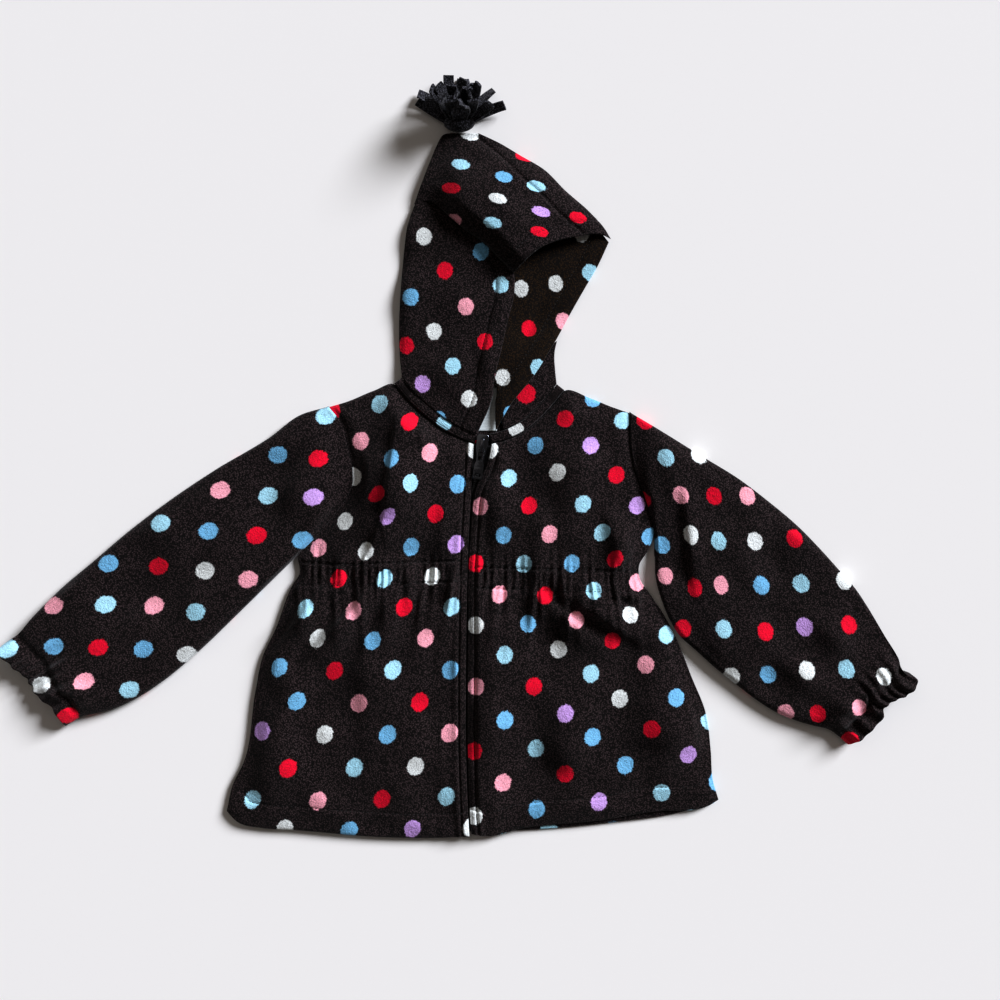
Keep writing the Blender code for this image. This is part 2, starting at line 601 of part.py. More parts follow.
def build_zip():
    """Two tapes, each with its half of the closed coil at the zip's line, then the slider and its pull."""
    stops = (0, COIL_WIDTH / TAPE_WIDTH, COIL_WIDTH / TAPE_WIDTH + 0.02, 1)
    for side, sign in (("right", 1), ("left", -1)):
        strip(
            f"zip_tape_{side}",
            ZIP_LINE,
            sign * GAP / 2,
            sign * TAPE_WIDTH,
            24,
            tape_top,
            TAPE,
            spacing=lambda t: stops[round(3 * t)],
        )
    slider = placed(plate([SLIDER_OUTLINE], SLIDER_HEIGHT), "zip_slider", SLIDER_AT)
    bridge_mesh = plate([BRIDGE_OUTLINE], BRIDGE_WIDTH)
    # Stood on edge: the outline's own X and Y become the slider's length and height.
    on_edge = Matrix(((0, 0, 1), (1, 0, 0), (0, 1, 0)))
    bmesh.ops.rotate(bridge_mesh, matrix=on_edge, verts=bridge_mesh.verts[:])
    bridge = placed(bridge_mesh, "slider_bridge", (SLIDER_AT[0], SLIDER_AT[1], SLIDER_TOP))
    coat.objects.unlink(bridge)
    cutters.objects.link(bridge)
    bridge.hide_render = True
    bridge.display_type = "WIRE"
    joint = slider.modifiers.new("bridge", "BOOLEAN")
    joint.operation = "UNION"
    joint.object = bridge
    placed(plate([PULL_OUTLINE, PULL_SLOT, PULL_WINDOW], PULL_THICKNESS), "zip_pull", pull_pivot())


def plate(outlines, thickness):
    """A flat plate in millimetres from closed outlines, the first its rim and the rest its holes."""
    curve = bpy.data.curves.new("plate", "CURVE")
    curve.dimensions = "2D"
    curve.fill_mode = "BOTH"
    curve.extrude = thickness / 2
    for outline in outlines:
        spline = curve.splines.new("POLY")
        spline.points.add(len(outline) - 1)
        for point, (x, y) in zip(spline.points, outline):
            point.co = (x, y, 0, 1)
        spline.use_cyclic_u = True
    guide = bpy.data.objects.new("plate", curve)
    coat.objects.link(guide)
    graph = bpy.context.evaluated_depsgraph_get()
    data = bpy.data.meshes.new_from_object(guide.evaluated_get(graph))
    bpy.data.objects.remove(guide)
    mesh = bmesh.new()
    mesh.from_mesh(data)
    bmesh.ops.remove_doubles(mesh, verts=mesh.verts[:], dist=1e-4)
    return mesh


def pull_pivot():
    """The middle of the pull's crossbar, under the slider's bridge."""
    turn = Matrix.Rotation(SLIDER_TURN, 3, "Z")
    x, y, _ = turn @ Vector((0, PIVOT_BACK, 0))
    return SLIDER_AT[0] + x, SLIDER_AT[1] + y, SLIDER_TOP + PIVOT_HEIGHT


def placed(mesh, name, at):
    """A metal piece, modelled about its own origin and set down at `at`, turned with the zip."""
    bmesh.ops.scale(mesh, vec=(MM, MM, MM), verts=mesh.verts[:])
    bmesh.ops.recalc_face_normals(mesh, faces=mesh.faces[:])
    data = bpy.data.meshes.new(name)
    mesh.to_mesh(data)
    mesh.free()
    made = bpy.data.objects.new(name, data)
    made.location = ((at[0] + COAT_SHIFT[0]) * MM, (at[1] + COAT_SHIFT[1]) * MM, at[2] * MM)
    made.rotation_euler.z = SLIDER_TURN
    data.materials.append(material("black nickel", "17181B", 0.25, metallic=1.0))
    coat.objects.link(made)
    return made


def build_tassel():
    """Strips of plain fleece that fan out of one tied root at the hood's peak, tier over tier."""
    root = Vector(TASSEL_ROOT_AT)
    mesh = bmesh.new()
    bmesh.ops.create_uvsphere(mesh, u_segments=12, v_segments=8, radius=1)
    bmesh.ops.scale(mesh, vec=TASSEL_ROOT_SIZE, verts=mesh.verts[:])
    bmesh.ops.translate(mesh, vec=root, verts=mesh.verts[:])
    tassel = finish(mesh, "hood_tassel", TASSEL_FLEECE)
    for tier in TASSEL_TIERS:
        for k in range(tier.strips):
            share = k / (tier.strips - 1)
            turn = math.radians(tier.first + (tier.last - tier.first) * share)
            uneven = math.sin(5.1 * k + tier.height)
            length = tier.length * (0.82 + 0.18 * math.sin(turn)) * (1 + 0.07 * uneven)
            strip_mesh = tassel_strip(root, turn, tier, length, tier.curl * (1 + 0.15 * uneven))
            strip_made = finish(strip_mesh, f"tassel_strip_{tier.height}_{k}", TASSEL_FLEECE)
            coat.objects.unlink(strip_made)
            tassel_strips.objects.link(strip_made)
            strip_made.hide_render = True
            strip_made.display_type = "WIRE"
    joint = tassel.modifiers.new("strips", "BOOLEAN")
    joint.operation = "UNION"
    joint.operand_type = "COLLECTION"
    joint.collection = tassel_strips
    return tassel


def tassel_strip(root, turn, tier, length, curl):
    """One cut strip, drawn out of a face inside the root: it leaves at its tier's slope and curls up."""
    mesh = bmesh.new()
    bmesh.ops.create_grid(mesh, x_segments=1, y_segments=1, size=0.5)
    out = Vector((math.cos(turn), math.sin(turn), 0))
    across = Vector((-out.y, out.x, 0))
    point = root + Vector((0, 0, tier.height)) + out * TASSEL_ROOT_DEPTH
    face = mesh.faces[:][0]
    signs = [(math.copysign(1, vert.co.x), math.copysign(1, vert.co.y)) for vert in face.verts]
    step = length / TASSEL_STEPS
    for number in range(TASSEL_STEPS + 1):
        slope = math.radians(tier.slope + curl * number / TASSEL_STEPS)
        heading = out * math.cos(slope) + Vector((0, 0, math.sin(slope)))
        upright = across.cross(heading) * -1
        if number:
            point = point + heading * step
            face = bmesh.ops.extrude_discrete_faces(mesh, faces=[face])["faces"][0]
        for vert, (side, deep) in zip(face.verts, signs):
            vert.co = point + across * side * STRIP_WIDTH / 2 + upright * deep * STRIP_THICKNESS / 2
    bmesh.ops.holes_fill(mesh, edges=mesh.edges[:], sides=4)
    return mesh


coat = bpy.data.collections.new("fleece coat")
cutters = bpy.data.collections.new("cutters")
tassel_strips = bpy.data.collections.new("tassel strips")


def clear_scene():
    for found in list(bpy.data.objects):
        bpy.data.objects.remove(found)
    bpy.context.scene.collection.children.link(coat)
    bpy.context.scene.collection.children.link(cutters)
    cutters.children.link(tassel_strips)
    cutters.hide_render = True


clear_scene()
build_body()
build_hood()
build_neck()
build_zip()
build_tassel()
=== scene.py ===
"""The looks of a toddler's hooded zip coat in printed fleece, laid flat on its back.

Sizes in the tables are millimetres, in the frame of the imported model: X across the chest to the viewer's
right, Y towards the hood, Z up. "left" and "right" in the names are the wearer's, as a tailor says them.
An outline gives its four edges as low, right, top and left on the page, each from left to right or upwards.
"""

import math
from collections import namedtuple

import bmesh
import bpy
import numpy as np
from mathutils import Matrix, Vector


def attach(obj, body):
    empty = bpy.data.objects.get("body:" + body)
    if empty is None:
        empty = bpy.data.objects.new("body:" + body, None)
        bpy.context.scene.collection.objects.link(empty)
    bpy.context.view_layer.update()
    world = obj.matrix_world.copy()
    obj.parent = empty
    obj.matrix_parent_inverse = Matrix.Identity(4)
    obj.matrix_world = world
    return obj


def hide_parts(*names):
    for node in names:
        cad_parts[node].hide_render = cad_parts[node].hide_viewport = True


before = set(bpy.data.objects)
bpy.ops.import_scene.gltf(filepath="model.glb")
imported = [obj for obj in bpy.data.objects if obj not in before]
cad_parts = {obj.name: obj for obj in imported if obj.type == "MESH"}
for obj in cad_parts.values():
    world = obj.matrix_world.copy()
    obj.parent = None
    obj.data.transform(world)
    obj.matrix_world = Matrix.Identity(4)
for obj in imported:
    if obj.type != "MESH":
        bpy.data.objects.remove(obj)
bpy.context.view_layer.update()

# ---- The back ----
# One panel of printed fleece, cut on the fold of the cloth. It lies face down on the table, so its upper
# face is the coat's lining side, and only its rim shows past the fronts. The hem is turned once and
# topstitched.

MM = 0.001
COAT_SHIFT = np.array([-0.2, 0.2, 0.0])  # where the tables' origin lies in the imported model
WALL = 2.2  # one layer of fleece
GAP = 0.3  # clear space between two layers
BACK_TOP = WALL
BODY_TOP = BACK_TOP + GAP + WALL
RIM_ROLL = 0.95  # how far a folded edge rounds off, above and below

BACK_SIZE = 330.0  # about how far across it is, for the spacing of its grid
BACK = {
    "low": [(-178, -274), (-166, -282), (-129, -287), (-60, -292), (20, -293), (70, -291), (120, -286),
            (170, -279), (200, -271)],
    "left side": [(200, -271), (194, -230), (190, -200), (179, -172), (156, -121), (138, -93), (144, -76),
                  (149, -61), (142, -31), (133.5, -6), (131.3, 10), (131, 31)],
    "neck": [(-98, 36), (-88, 39.5), (-66, 48.5), (-46, 56), (-10, 55.5), (40, 54.5), (80, 52.5),
             (102, 42.6), (120, 35.4), (131, 31)],
    "right side": [(-178, -274), (-164, -238), (-155, -184), (-149, -155), (-139.5, -135), (-126.5, -101),
                   (-120.5, -90), (-120.5, -78), (-109, -64), (-94, -45), (-80.8, -24), (-81, -6),
                   (-84.6, 10), (-88.5, 25), (-98, 36)],
}

# The print: ragged polka dots in six dyes. They stand at every second crossing of a 25 mm grid, so a dot's
# place is two whole numbers whose sum is even: half-steps across, and rows up. The dyes repeat every three
# dots across and every six rows. "k" is the bare ground.
DYES = {"b": "B4E4F4", "s": "84C4EA", "w": "EEF2F0", "r": "EC0638", "p": "FFB6C4", "l": "D8B0F0", "k": "110A09"}
REPEAT = ("bpr", "rbs", "wsl", "prb", "rbw", "wsp")
ROW_STEP = 25.0
BARE = ("kkk",) * len(REPEAT)
DOT_PITCH = ROW_STEP * math.sqrt(2)
DOT_RADIUS = 7.45
RAGGED_BY_CLUMPS, RAGGED_BY_FIBRES = 2.6, 3.4  # how far the nap's clumps and fibres draw a dot's rim in and out
SOFT_RIM = 0.35  # half the width over which a dot's rim fades


def linear(code):
    """An sRGB hex colour as the linear values that the shader takes."""
    srgb = np.array([int(code[i : i + 2], 16) / 255 for i in (0, 2, 4)])
    return np.where(srgb > 0.04045, ((srgb + 0.055) / 1.055) ** 2.4, srgb / 12.92)


def smooth(t):
    """0 up to t = 0 and 1 from t = 1 on, eased between."""
    t = np.clip(t, 0.0, 1.0)
    return t * t * (3 - 2 * t)


def along(line, t):
    """Points at shares t of the length of the smooth curve through a table of points."""
    line = np.array(line, float)
    runs = np.diff(line, axis=0)
    steps = np.hypot(*runs.T)
    chords = runs / steps[:, None]
    before, after = steps[:-1, None], steps[1:, None]
    inner = (chords[1:] * before + chords[:-1] * after) / (before + after)
    tangents = np.concatenate([chords[:1], inner, chords[-1:]])
    starts = np.concatenate([[0.0], np.cumsum(steps)])
    target = np.clip(t, 0, 1) * starts[-1]
    i = np.clip(np.searchsorted(starts, target) - 1, 0, len(steps) - 1)
    s = ((target - starts[i]) / steps[i])[:, None]
    ends = (2 * s**3 - 3 * s**2 + 1) * line[i] + (3 * s**2 - 2 * s**3) * line[i + 1]
    bends = (s**3 - 2 * s**2 + s) * tangents[i] + (s**3 - s**2) * tangents[i + 1]
    return ends + bends * steps[i][:, None]


def patch(low, right, top, left, u, v):
    """The cloth between four edges, at the grid's shares u across and v up: its x and its y, row by row."""
    b, t = along(low, u)[None], along(top, u)[None]
    a, r = along(left, v)[:, None], along(right, v)[:, None]
    u, v = u[None, :, None], v[:, None, None]
    c0, c1, c2, c3 = (np.array(c, float) for c in (low[0], low[-1], top[0], top[-1]))
    corners = (1 - u) * (1 - v) * c0 + u * (1 - v) * c1 + (1 - u) * v * c2 + u * v * c3
    place = (1 - v) * b + v * t + (1 - u) * a + u * r - corners
    return place[..., 0], place[..., 1]


def spaced(steps, *finer):
    """Even grid lines from 0 to 1, with more of them from a start to an end where it has to be finer."""
    lines = [np.linspace(0, 1, steps + 1)]
    for start, end, more in finer:
        lines.append(np.linspace(start, end, more + 1))
    return np.unique(np.concatenate(lines).round(4))


def rim_lines(size, width=1.6):
    """The close grid lines that round off both edges of a piece `size` across."""
    return (0, width / size, 4), (1 - width / size, 1, 4)


def from_line(x, y, line):
    """How far each point of the cloth lies from a line."""
    line = along(line, np.linspace(0, 1, 61))
    start, run = line[:-1], np.diff(line, axis=0)
    dx, dy = x[..., None] - start[:, 0], y[..., None] - start[:, 1]
    share = np.clip((dx * run[:, 0] + dy * run[:, 1]) / (run**2).sum(1), 0, 1)
    return np.hypot(dx - share * run[:, 0], dy - share * run[:, 1]).min(-1)


def nearest(x, y, edges):
    """How far each point lies from each edge, and from the nearest of them."""
    away = [from_line(x, y, edge) for edge in edges]
    return away, np.minimum.reduce(away)


def rolled(distance, radius=RIM_ROLL):
    """How far a rounded edge drops, at a distance in from it."""
    return radius - np.sqrt(radius**2 - (radius - np.clip(distance, 0, radius)) ** 2)


def waver(x, y, size, seed):
    """The soft unevenness of cloth that was handled, about -1 to 1, its bumps about `size` apart."""
    height = 0
    for k in range(11):
        turn = 1.3 * seed + 2.4 * k
        pitch = 2 * math.pi / (size * (0.7 + 0.085 * k))
        height = height + np.sin(pitch * (x * math.cos(turn) + y * math.sin(turn)) + 1.7 * k * seed + k * k)
    return height / 4


def charted(x, y, dots):
    """The print's half-steps and rows at points of the cloth, drawn smoothly through its charted dots."""
    softness, stiffness = 90, 700  # a dot's own reach, and how firmly the print keeps its slope between dots
    dots = np.array(dots, float)
    at, grid = dots[:, :2], dots[:, 2:]
    ones = np.ones((len(dots), 1))
    overall = np.linalg.lstsq(np.hstack([ones, at]), grid, rcond=None)[0]
    left_over = grid - np.hstack([ones, at]) @ overall
    dx, dy = at[:, 0] - x[..., None], at[:, 1] - y[..., None]
    weight = 1 / (dx**2 + dy**2 + softness) ** 2
    terms = np.stack([np.ones_like(dx), dx, dy], -1)
    normal = np.einsum("...m,...mi,...mj->...ij", weight, terms, terms)
    held = weight.sum(-1) * stiffness
    normal[..., 1, 1] += held
    normal[..., 2, 2] += held
    wanted = np.einsum("...m,...mi,mk->...ik", weight, terms, left_over)
    near = np.linalg.solve(normal, wanted)[..., 0, :]
    return np.stack([np.ones_like(x), x, y], -1) @ overall + near


def plain_chart(x, y, turn=0.0, across=0.0, up=0.0):
    """The print on a side with no charted dots: the grid alone, turned and moved by whole or part steps."""
    c, s = math.cos(turn), math.sin(turn)
    return np.stack([(x * c + y * s) / ROW_STEP + across, (y * c - x * s) / ROW_STEP + up], -1)


def dyed(grid, repeat, own):
    """The dye of the dot nearest to each point. `own` names the dyes of single dots, by half-step and row."""
    p = np.rint((grid[..., 0] + grid[..., 1]) / 2).astype(int)
    q = np.rint((grid[..., 0] - grid[..., 1]) / 2).astype(int)
    half, row = p + q, p - q
    chart = np.array([[linear(DYES[dye]) for dye in line] for line in repeat])
    dyes = chart[row % len(repeat), ((half - row % 2) // 2) % len(repeat[0])]
    for (at_half, at_row), dye in own.items():
        dyes[(half == at_half) & (row == at_row)] = linear(DYES[dye])
    return dyes


def numbers(items, name, width, kind=float):
    """One property of all the vertices or corners of a mesh, a row for each."""
    values = np.empty(len(items) * width, kind)
    items.foreach_get(name, values)
    return values.reshape(-1, width)


def finished(mesh, name):
    """The mesh data of a bmesh, which is freed."""
    data = bpy.data.meshes.new(name)
    mesh.to_mesh(data)
    mesh.free()
    return data


def settle(name, data, points, grid=None, repeat=REPEAT, own=()):
    """Gives a mesh its points, in millimetres, and its print, closes its seams and makes it an object."""
    data.vertices.foreach_set("co", ((points + COAT_SHIFT) * MM).ravel())
    if grid is not None:
        corner = numbers(data.loops, "vertex_index", 1, int)[:, 0]
        dot_steps = np.stack([grid[:, 0] + grid[:, 1], grid[:, 0] - grid[:, 1]], -1) / 2
        data.uv_layers.new(name="grain").uv.foreach_set("vector", dot_steps[corner].ravel())
        dyes = np.hstack([dyed(grid, repeat, dict(own)), np.ones((len(grid), 1))])
        dot_dye = data.color_attributes.new("dot_dye", "FLOAT_COLOR", "POINT")
        dot_dye.data.foreach_set("color", dyes.ravel())
    mesh = bmesh.new()
    mesh.from_mesh(data)
    bmesh.ops.remove_doubles(mesh, verts=mesh.verts[:], dist=2e-6)
    bmesh.ops.recalc_face_normals(mesh, faces=mesh.faces[:])
    mesh.to_mesh(data)
    mesh.free()
    data.shade_smooth()
    made = bpy.data.objects.new(name, data)
    bpy.context.scene.collection.objects.link(made)
    return made


def gridded(name, rows, columns, walled=True):
    """A flat grid, walled or not: its data, which points are on top, and their rows and columns."""
    mesh = bmesh.new()
    bmesh.ops.create_grid(mesh, x_segments=columns - 1, y_segments=rows - 1, size=0.5)
    if walled:
        raised = bmesh.ops.extrude_face_region(mesh, geom=mesh.faces[:])["geom"]
        moved = [vertex for vertex in raised if isinstance(vertex, bmesh.types.BMVert)]
        bmesh.ops.translate(mesh, vec=(0, 0, 1), verts=moved)
    data = finished(mesh, name)
    unit = numbers(data.vertices, "co", 3)
    column = np.rint((unit[:, 0] + 0.5) * (columns - 1)).astype(int)
    row = np.rint((unit[:, 1] + 0.5) * (rows - 1)).astype(int)
    return data, unit[:, 2:] > 0.5, (row, column)


def slab(name, top, under):
    """A walled grid, and for each of its points the place that it takes in the two faces of the cloth."""
    data, upper, at = gridded(name, *top.shape[:2])
    return data, np.where(upper, top[at], under[at]), at


def layer(name, x, y, top, under, grid=None, **print_of):
    """A layer of cloth: a grid of points raised to its upper face, with its under face below."""
    data, points, at = slab(name, np.stack([x, y, top], -1), np.stack([x, y, under + 0 * x], -1))
    return settle(name, data, points, None if grid is None else grid[at], **print_of)


def dress(made, finish, node=None, body="coat"):
    """Gives a piece its finish, sets it on the body that it rides on and hides the solid that it stands for."""
    made.data.materials.append(finish)
    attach(made, body)
    if node:
        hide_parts(node)
    return made


def add(tree, kind, inputs, **settings):
    """Adds one node with its settings, and its inputs as values or as the sockets that feed them."""
    node = tree.nodes.new(kind)
    for key, value in settings.items():
        setattr(node, key, value)
    for socket, value in inputs.items():
        if isinstance(value, bpy.types.NodeSocket):
            tree.links.new(value, node.inputs[socket])
        else:
            node.inputs[socket].default_value = value
    return node


def coloured(code):
    return (*linear(code), 1)


def new_finish(name):
    """An empty material: its tree, its shader and the place on the piece in millimetres."""
    made = bpy.data.materials.new(name)
    made.use_nodes = True
    tree = made.node_tree
    place = add(tree, "ShaderNodeTexCoord", {}).outputs["Object"]
    in_mm = add(tree, "ShaderNodeVectorMath", {0: place, 1: (1000, 1000, 1000)}, operation="MULTIPLY")
    return made, tree, tree.nodes["Principled BSDF"], in_mm.outputs["Vector"]


def fleece(name, dark, light, dotted):
    """Anti-pill polyester fleece, knitted, brushed and sheared: matt, with a short nap that clumps into grains.

    The nap gives a soft speckle of fibre ends: each grain has its own tone, and it is lighter at its raised tip, a
    painted highlight. The dots are printed on the tips, so their rims are ragged and the dark ground shows
    through, with painted shade between the fibres. Grains are 1.2 mm and clumps 2.6 mm across.
    """
    made, tree, shader, mm = new_finish(name)
    grains = add(tree, "ShaderNodeTexVoronoi", {"Vector": mm, "Scale": 1 / 1.2})
    clumps = add(tree, "ShaderNodeTexNoise", {"Vector": mm, "Scale": 1 / 2.6, "Detail": 2.0, "Roughness": 0.55})
    # Each grain is lighter towards its raised tip, scaled by its own random tone: a painted highlight on the nap's
    # tips.
    tip = add(tree, "ShaderNodeMapRange",
              {"Value": grains.outputs["Distance"], "From Min": 0.62, "From Max": 0.16},
              interpolation_type="SMOOTHSTEP")
    shade = add(tree, "ShaderNodeMapRange", {"Value": grains.outputs["Color"], "To Min": 0.45})
    tip_highlight_speck = add(tree, "ShaderNodeMath", {0: tip.outputs["Result"], 1: shade.outputs["Result"]},
                operation="MULTIPLY")
    ground = add(tree, "ShaderNodeMix", {"Factor": tip_highlight_speck.outputs[0]}, data_type="RGBA")
    # A colour Mix node has its sockets after those for numbers and vectors.
    ground.inputs[6].default_value = coloured(dark)
    ground.inputs[7].default_value = coloured(light)
    colour = ground.outputs[2]
    if dotted:
        steps = add(tree, "ShaderNodeUVMap", {}, uv_map="grain").outputs["UV"]
        moved = add(tree, "ShaderNodeVectorMath", {0: steps, 1: (0.5, 0.5, 0)}, operation="ADD")
        share = add(tree, "ShaderNodeVectorMath", {0: moved.outputs["Vector"]}, operation="FRACTION")
        centred = add(tree, "ShaderNodeVectorMath", {0: share.outputs["Vector"], 1: (0.5, 0.5, 0)},
                      operation="SUBTRACT")
        reach = add(tree, "ShaderNodeVectorMath", {0: centred.outputs["Vector"]}, operation="LENGTH")
        size = add(tree, "ShaderNodeMath", {0: reach.outputs["Value"], 1: DOT_PITCH}, operation="MULTIPLY")
        rim = add(tree, "ShaderNodeMath", {0: clumps.outputs["Fac"], 1: RAGGED_BY_CLUMPS, 2: size.outputs[0]},
                  operation="MULTIPLY_ADD")
        fibres = add(tree, "ShaderNodeTexNoise",
                     {"Vector": mm, "Scale": 1 / 0.9, "Detail": 2.0, "Roughness": 0.7})
        ragged = add(tree, "ShaderNodeMath", {0: fibres.outputs["Fac"], 1: RAGGED_BY_FIBRES, 2: rim.outputs[0]},
                     operation="MULTIPLY_ADD")
        middle = DOT_RADIUS + (RAGGED_BY_CLUMPS + RAGGED_BY_FIBRES) / 2
        inside = add(tree, "ShaderNodeMapRange", {"Value": ragged.outputs[0], "From Min": middle + SOFT_RIM,
                                                  "From Max": middle - SOFT_RIM})
        # Flecks where the dye thins inside a dot: the dark ground between the printed tips, and painted shade
        # between the fibres.
        fibre_gaps_and_shade = add(tree, "ShaderNodeMapRange", {"Value": fibres.outputs["Fac"], "From Min": 0.36,
                                                "From Max": 0.62, "To Min": 0.62, "To Max": 1.0})
        cover = add(tree, "ShaderNodeMath", {0: inside.outputs["Result"], 1: fibre_gaps_and_shade.outputs["Result"]},
                    operation="MULTIPLY")
        dye = add(tree, "ShaderNodeAttribute", {}, attribute_name="dot_dye")
        print_mix = add(tree, "ShaderNodeMix", {"Factor": cover.outputs[0]}, data_type="RGBA")
        tree.links.new(colour, print_mix.inputs[6])
        tree.links.new(dye.outputs["Color"], print_mix.inputs[7])
        colour = print_mix.outputs[2]
    nap = add(tree, "ShaderNodeBump", {"Height": clumps.outputs["Fac"], "Strength": 0.5, "Distance": 0.001})
    fine_nap = add(tree, "ShaderNodeBump", {"Height": tip.outputs["Result"], "Strength": 0.5,
                                            "Distance": 0.0003, "Normal": nap.outputs["Normal"]})
    tree.links.new(colour, shader.inputs["Base Color"])
    tree.links.new(fine_nap.outputs["Normal"], shader.inputs["Normal"])
    shader.inputs["Roughness"].default_value = 0.95
    shader.inputs["Specular IOR Level"].default_value = 0.2
    shader.inputs["Sheen Weight"].default_value = 0.14
    shader.inputs["Sheen Roughness"].default_value = 0.45
    return made


# Its lighter colour tints the grains' tips, so it carries their painted highlight.
printed_fleece = fleece("printed polyester fleece", "080403", "4B3D3E", True)

u = v = spaced(90, *rim_lines(BACK_SIZE))
x, y = patch(*BACK.values(), u, v)
roll = rolled(nearest(x, y, BACK.values())[1])
back = layer("back_panel", x, y, BACK_TOP - roll, roll, plain_chart(x, y, 0.02, 0.4, 0.8))
dress(back, printed_fleece, "back")

# ---- The fronts ----
# Two panels of the printed fleece, sewn to the back at the sides and shoulders, with the zip between them.
# Inside each, a casing of two stitched rows holds the waist's elastic, which gathers the cloth above and
# below it.

Fold = namedtuple("Fold", "x0 y0 x1 y1 rise left right")
LOFT = 1.3  # the springy fleece stands this much higher than its table of folds says
NECK_RIGHT = [(-50.5, 56.6), (-42, 46), (-29, 33.5), (-12, 20.6), (3, 12.8), (12, 9.6)]
NECK_LEFT = [(25.8, 9.8), (38, 13), (53.4, 20.7), (64.4, 30), (75.3, 41.7), (83, 51.4)]
ZIP_LINE = [(9.3, -292), (8.2, -277), (6.8, -240), (6.7, -150), (8.8, -60), (12.2, -23), (16.8, 0),
            (18.3, 9.6)]
TAPE_TOP = BACK_TOP + GAP + 0.8
COIL_TOP = 5.0
COIL_REACH = 8.0  # how far from the zip's line the front lies on the coil, and on the tape
TAPE_REACH = 22.0
COIL_LIFT = 1.7  # how far each of them lifts the front
TAPE_LIFT = 1.1
HEM_DEPTH = 19.0  # from the hem's edge to its topstitching
ZIP_STITCH = 5.6  # from the zip's edge to its topstitching
PANEL_SIZE = 190.0  # about how wide a front is, for the spacing of its grid
GROOVE = 0.75  # half the width that a sewn row presses down

RIGHT_FRONT = {
    "low": [(-181, -277), (-172, -285.5), (-153, -290), (-129, -291.5), (-60, -297), (-19, -297.6),
            (8.6, -296)],
    "centre": [(8.6, -296), (7.6, -278), (6.2, -240), (6, -150), (8.2, -60), (10.2, -22), (11.5, 0),
               (12, 9.6)],
    "top": [(-101.5, 38.6), (-88, 42.5), (-66, 51.5), *NECK_RIGHT],
    "side": [(-181, -277), (-176.5, -257), (-167.5, -238), (-158.7, -184), (-152.5, -155), (-143, -135),
             (-130, -101), (-124, -91), (-125, -78), (-112, -63), (-97, -45), (-83.6, -24), (-83.9, -6),
             (-87.6, 10), (-91.5, 25), (-101.5, 38.6)],
}
LEFT_FRONT = {
    "low": [(10, -294), (21, -296), (51, -290), (109, -284.3), (152, -277.3), (195, -272.6), (203, -268)],
    "side": [(203, -268), (198.5, -252), (197, -230), (193, -200), (182, -172), (170.4, -143),
             (158.7, -121), (147.8, -105), (141.4, -95), (141, -85), (147.5, -74), (152.6, -61),
             (145, -31), (136.5, -6), (134.2, 10), (133.4, 34)],
    "top": [*NECK_LEFT, (102.6, 45.6), (120, 38.6), (133.4, 34)],
    "centre": [(10, -294), (8.8, -279), (7.4, -240), (7.4, -150), (9.4, -60), (14, -24), (23.4, -3),
               (25.8, 9.8)],
}

# The folds as laid: the crest from one end to the other, its rise, and how far each flank reaches. "left"
# is the flank on the left hand of someone who walks along the crest. A hollow has a rise below zero.
RIGHT_FRONT_FOLDS = [
    Fold(-42, 40, -60, -72, 10.0, 36, 26),
    Fold(-45, 34, -56, -52, 4.6, 18, 4),
    Fold(-56, -48, -72, -84, 4.2, 16, 4),
    Fold(-28, 30, -27, 8, 2.6, 8, 4),
    Fold(-84, 30, -98, -44, 2.6, 9, 12),
    Fold(-10, -30, -14, -84, 2.4, 9, 9),
    Fold(-99, -100, -142, -154, 7.0, 12, 7),
    Fold(-62, -102, -116, -158, 8.4, 15, 6),
    Fold(-40, -102, -78, -164, 5.0, 13, 8),
    Fold(-14, -104, -32, -160, 3.0, 11, 9),
    Fold(-70, -150, -62, -262, 4.6, 26, 15),
    Fold(-124, -156, -148, -256, 5.0, 18, 13),
    Fold(-24, -170, -28, -256, 2.2, 14, 13),
]
LEFT_FRONT_FOLDS = [
    Fold(27, 8, 33, -80, 3.8, 15, 10),
    Fold(94, 24, 88, -74, 5.6, 20, 20),
    Fold(116, -40, 128, -84, 4.4, 10, 6),
    Fold(136, -44, 122, -86, 3.4, 8, 7),
    Fold(62, -30, 66, -84, 2.4, 8, 10),
    Fold(116, -104, 158, -112, 5.0, 15, 4),
    Fold(86, -106, 142, -142, 8.0, 19, 7),
    Fold(60, -108, 108, -146, 4.0, 5, 10),
    Fold(24, -120, 27, -262, 4.4, 26, 12),
    Fold(86, -160, 80, -262, 3.4, 20, 18),
    Fold(146, -150, 172, -244, 6.0, 20, 17),
    Fold(128, -214, 190, -224, 2.6, 15, 9),
]
# The waist's casing: the line between its two rows, from the side to the zip, and how many gathers it holds.
RIGHT_CASING = [(-131, -90), (-96, -92), (-50, -91), (-20, -90), (6.5, -89)]
LEFT_CASING = [(8.5, -94), (40, -95.5), (84, -96), (118, -97), (146, -98)]
CASING_HALF = 8.0

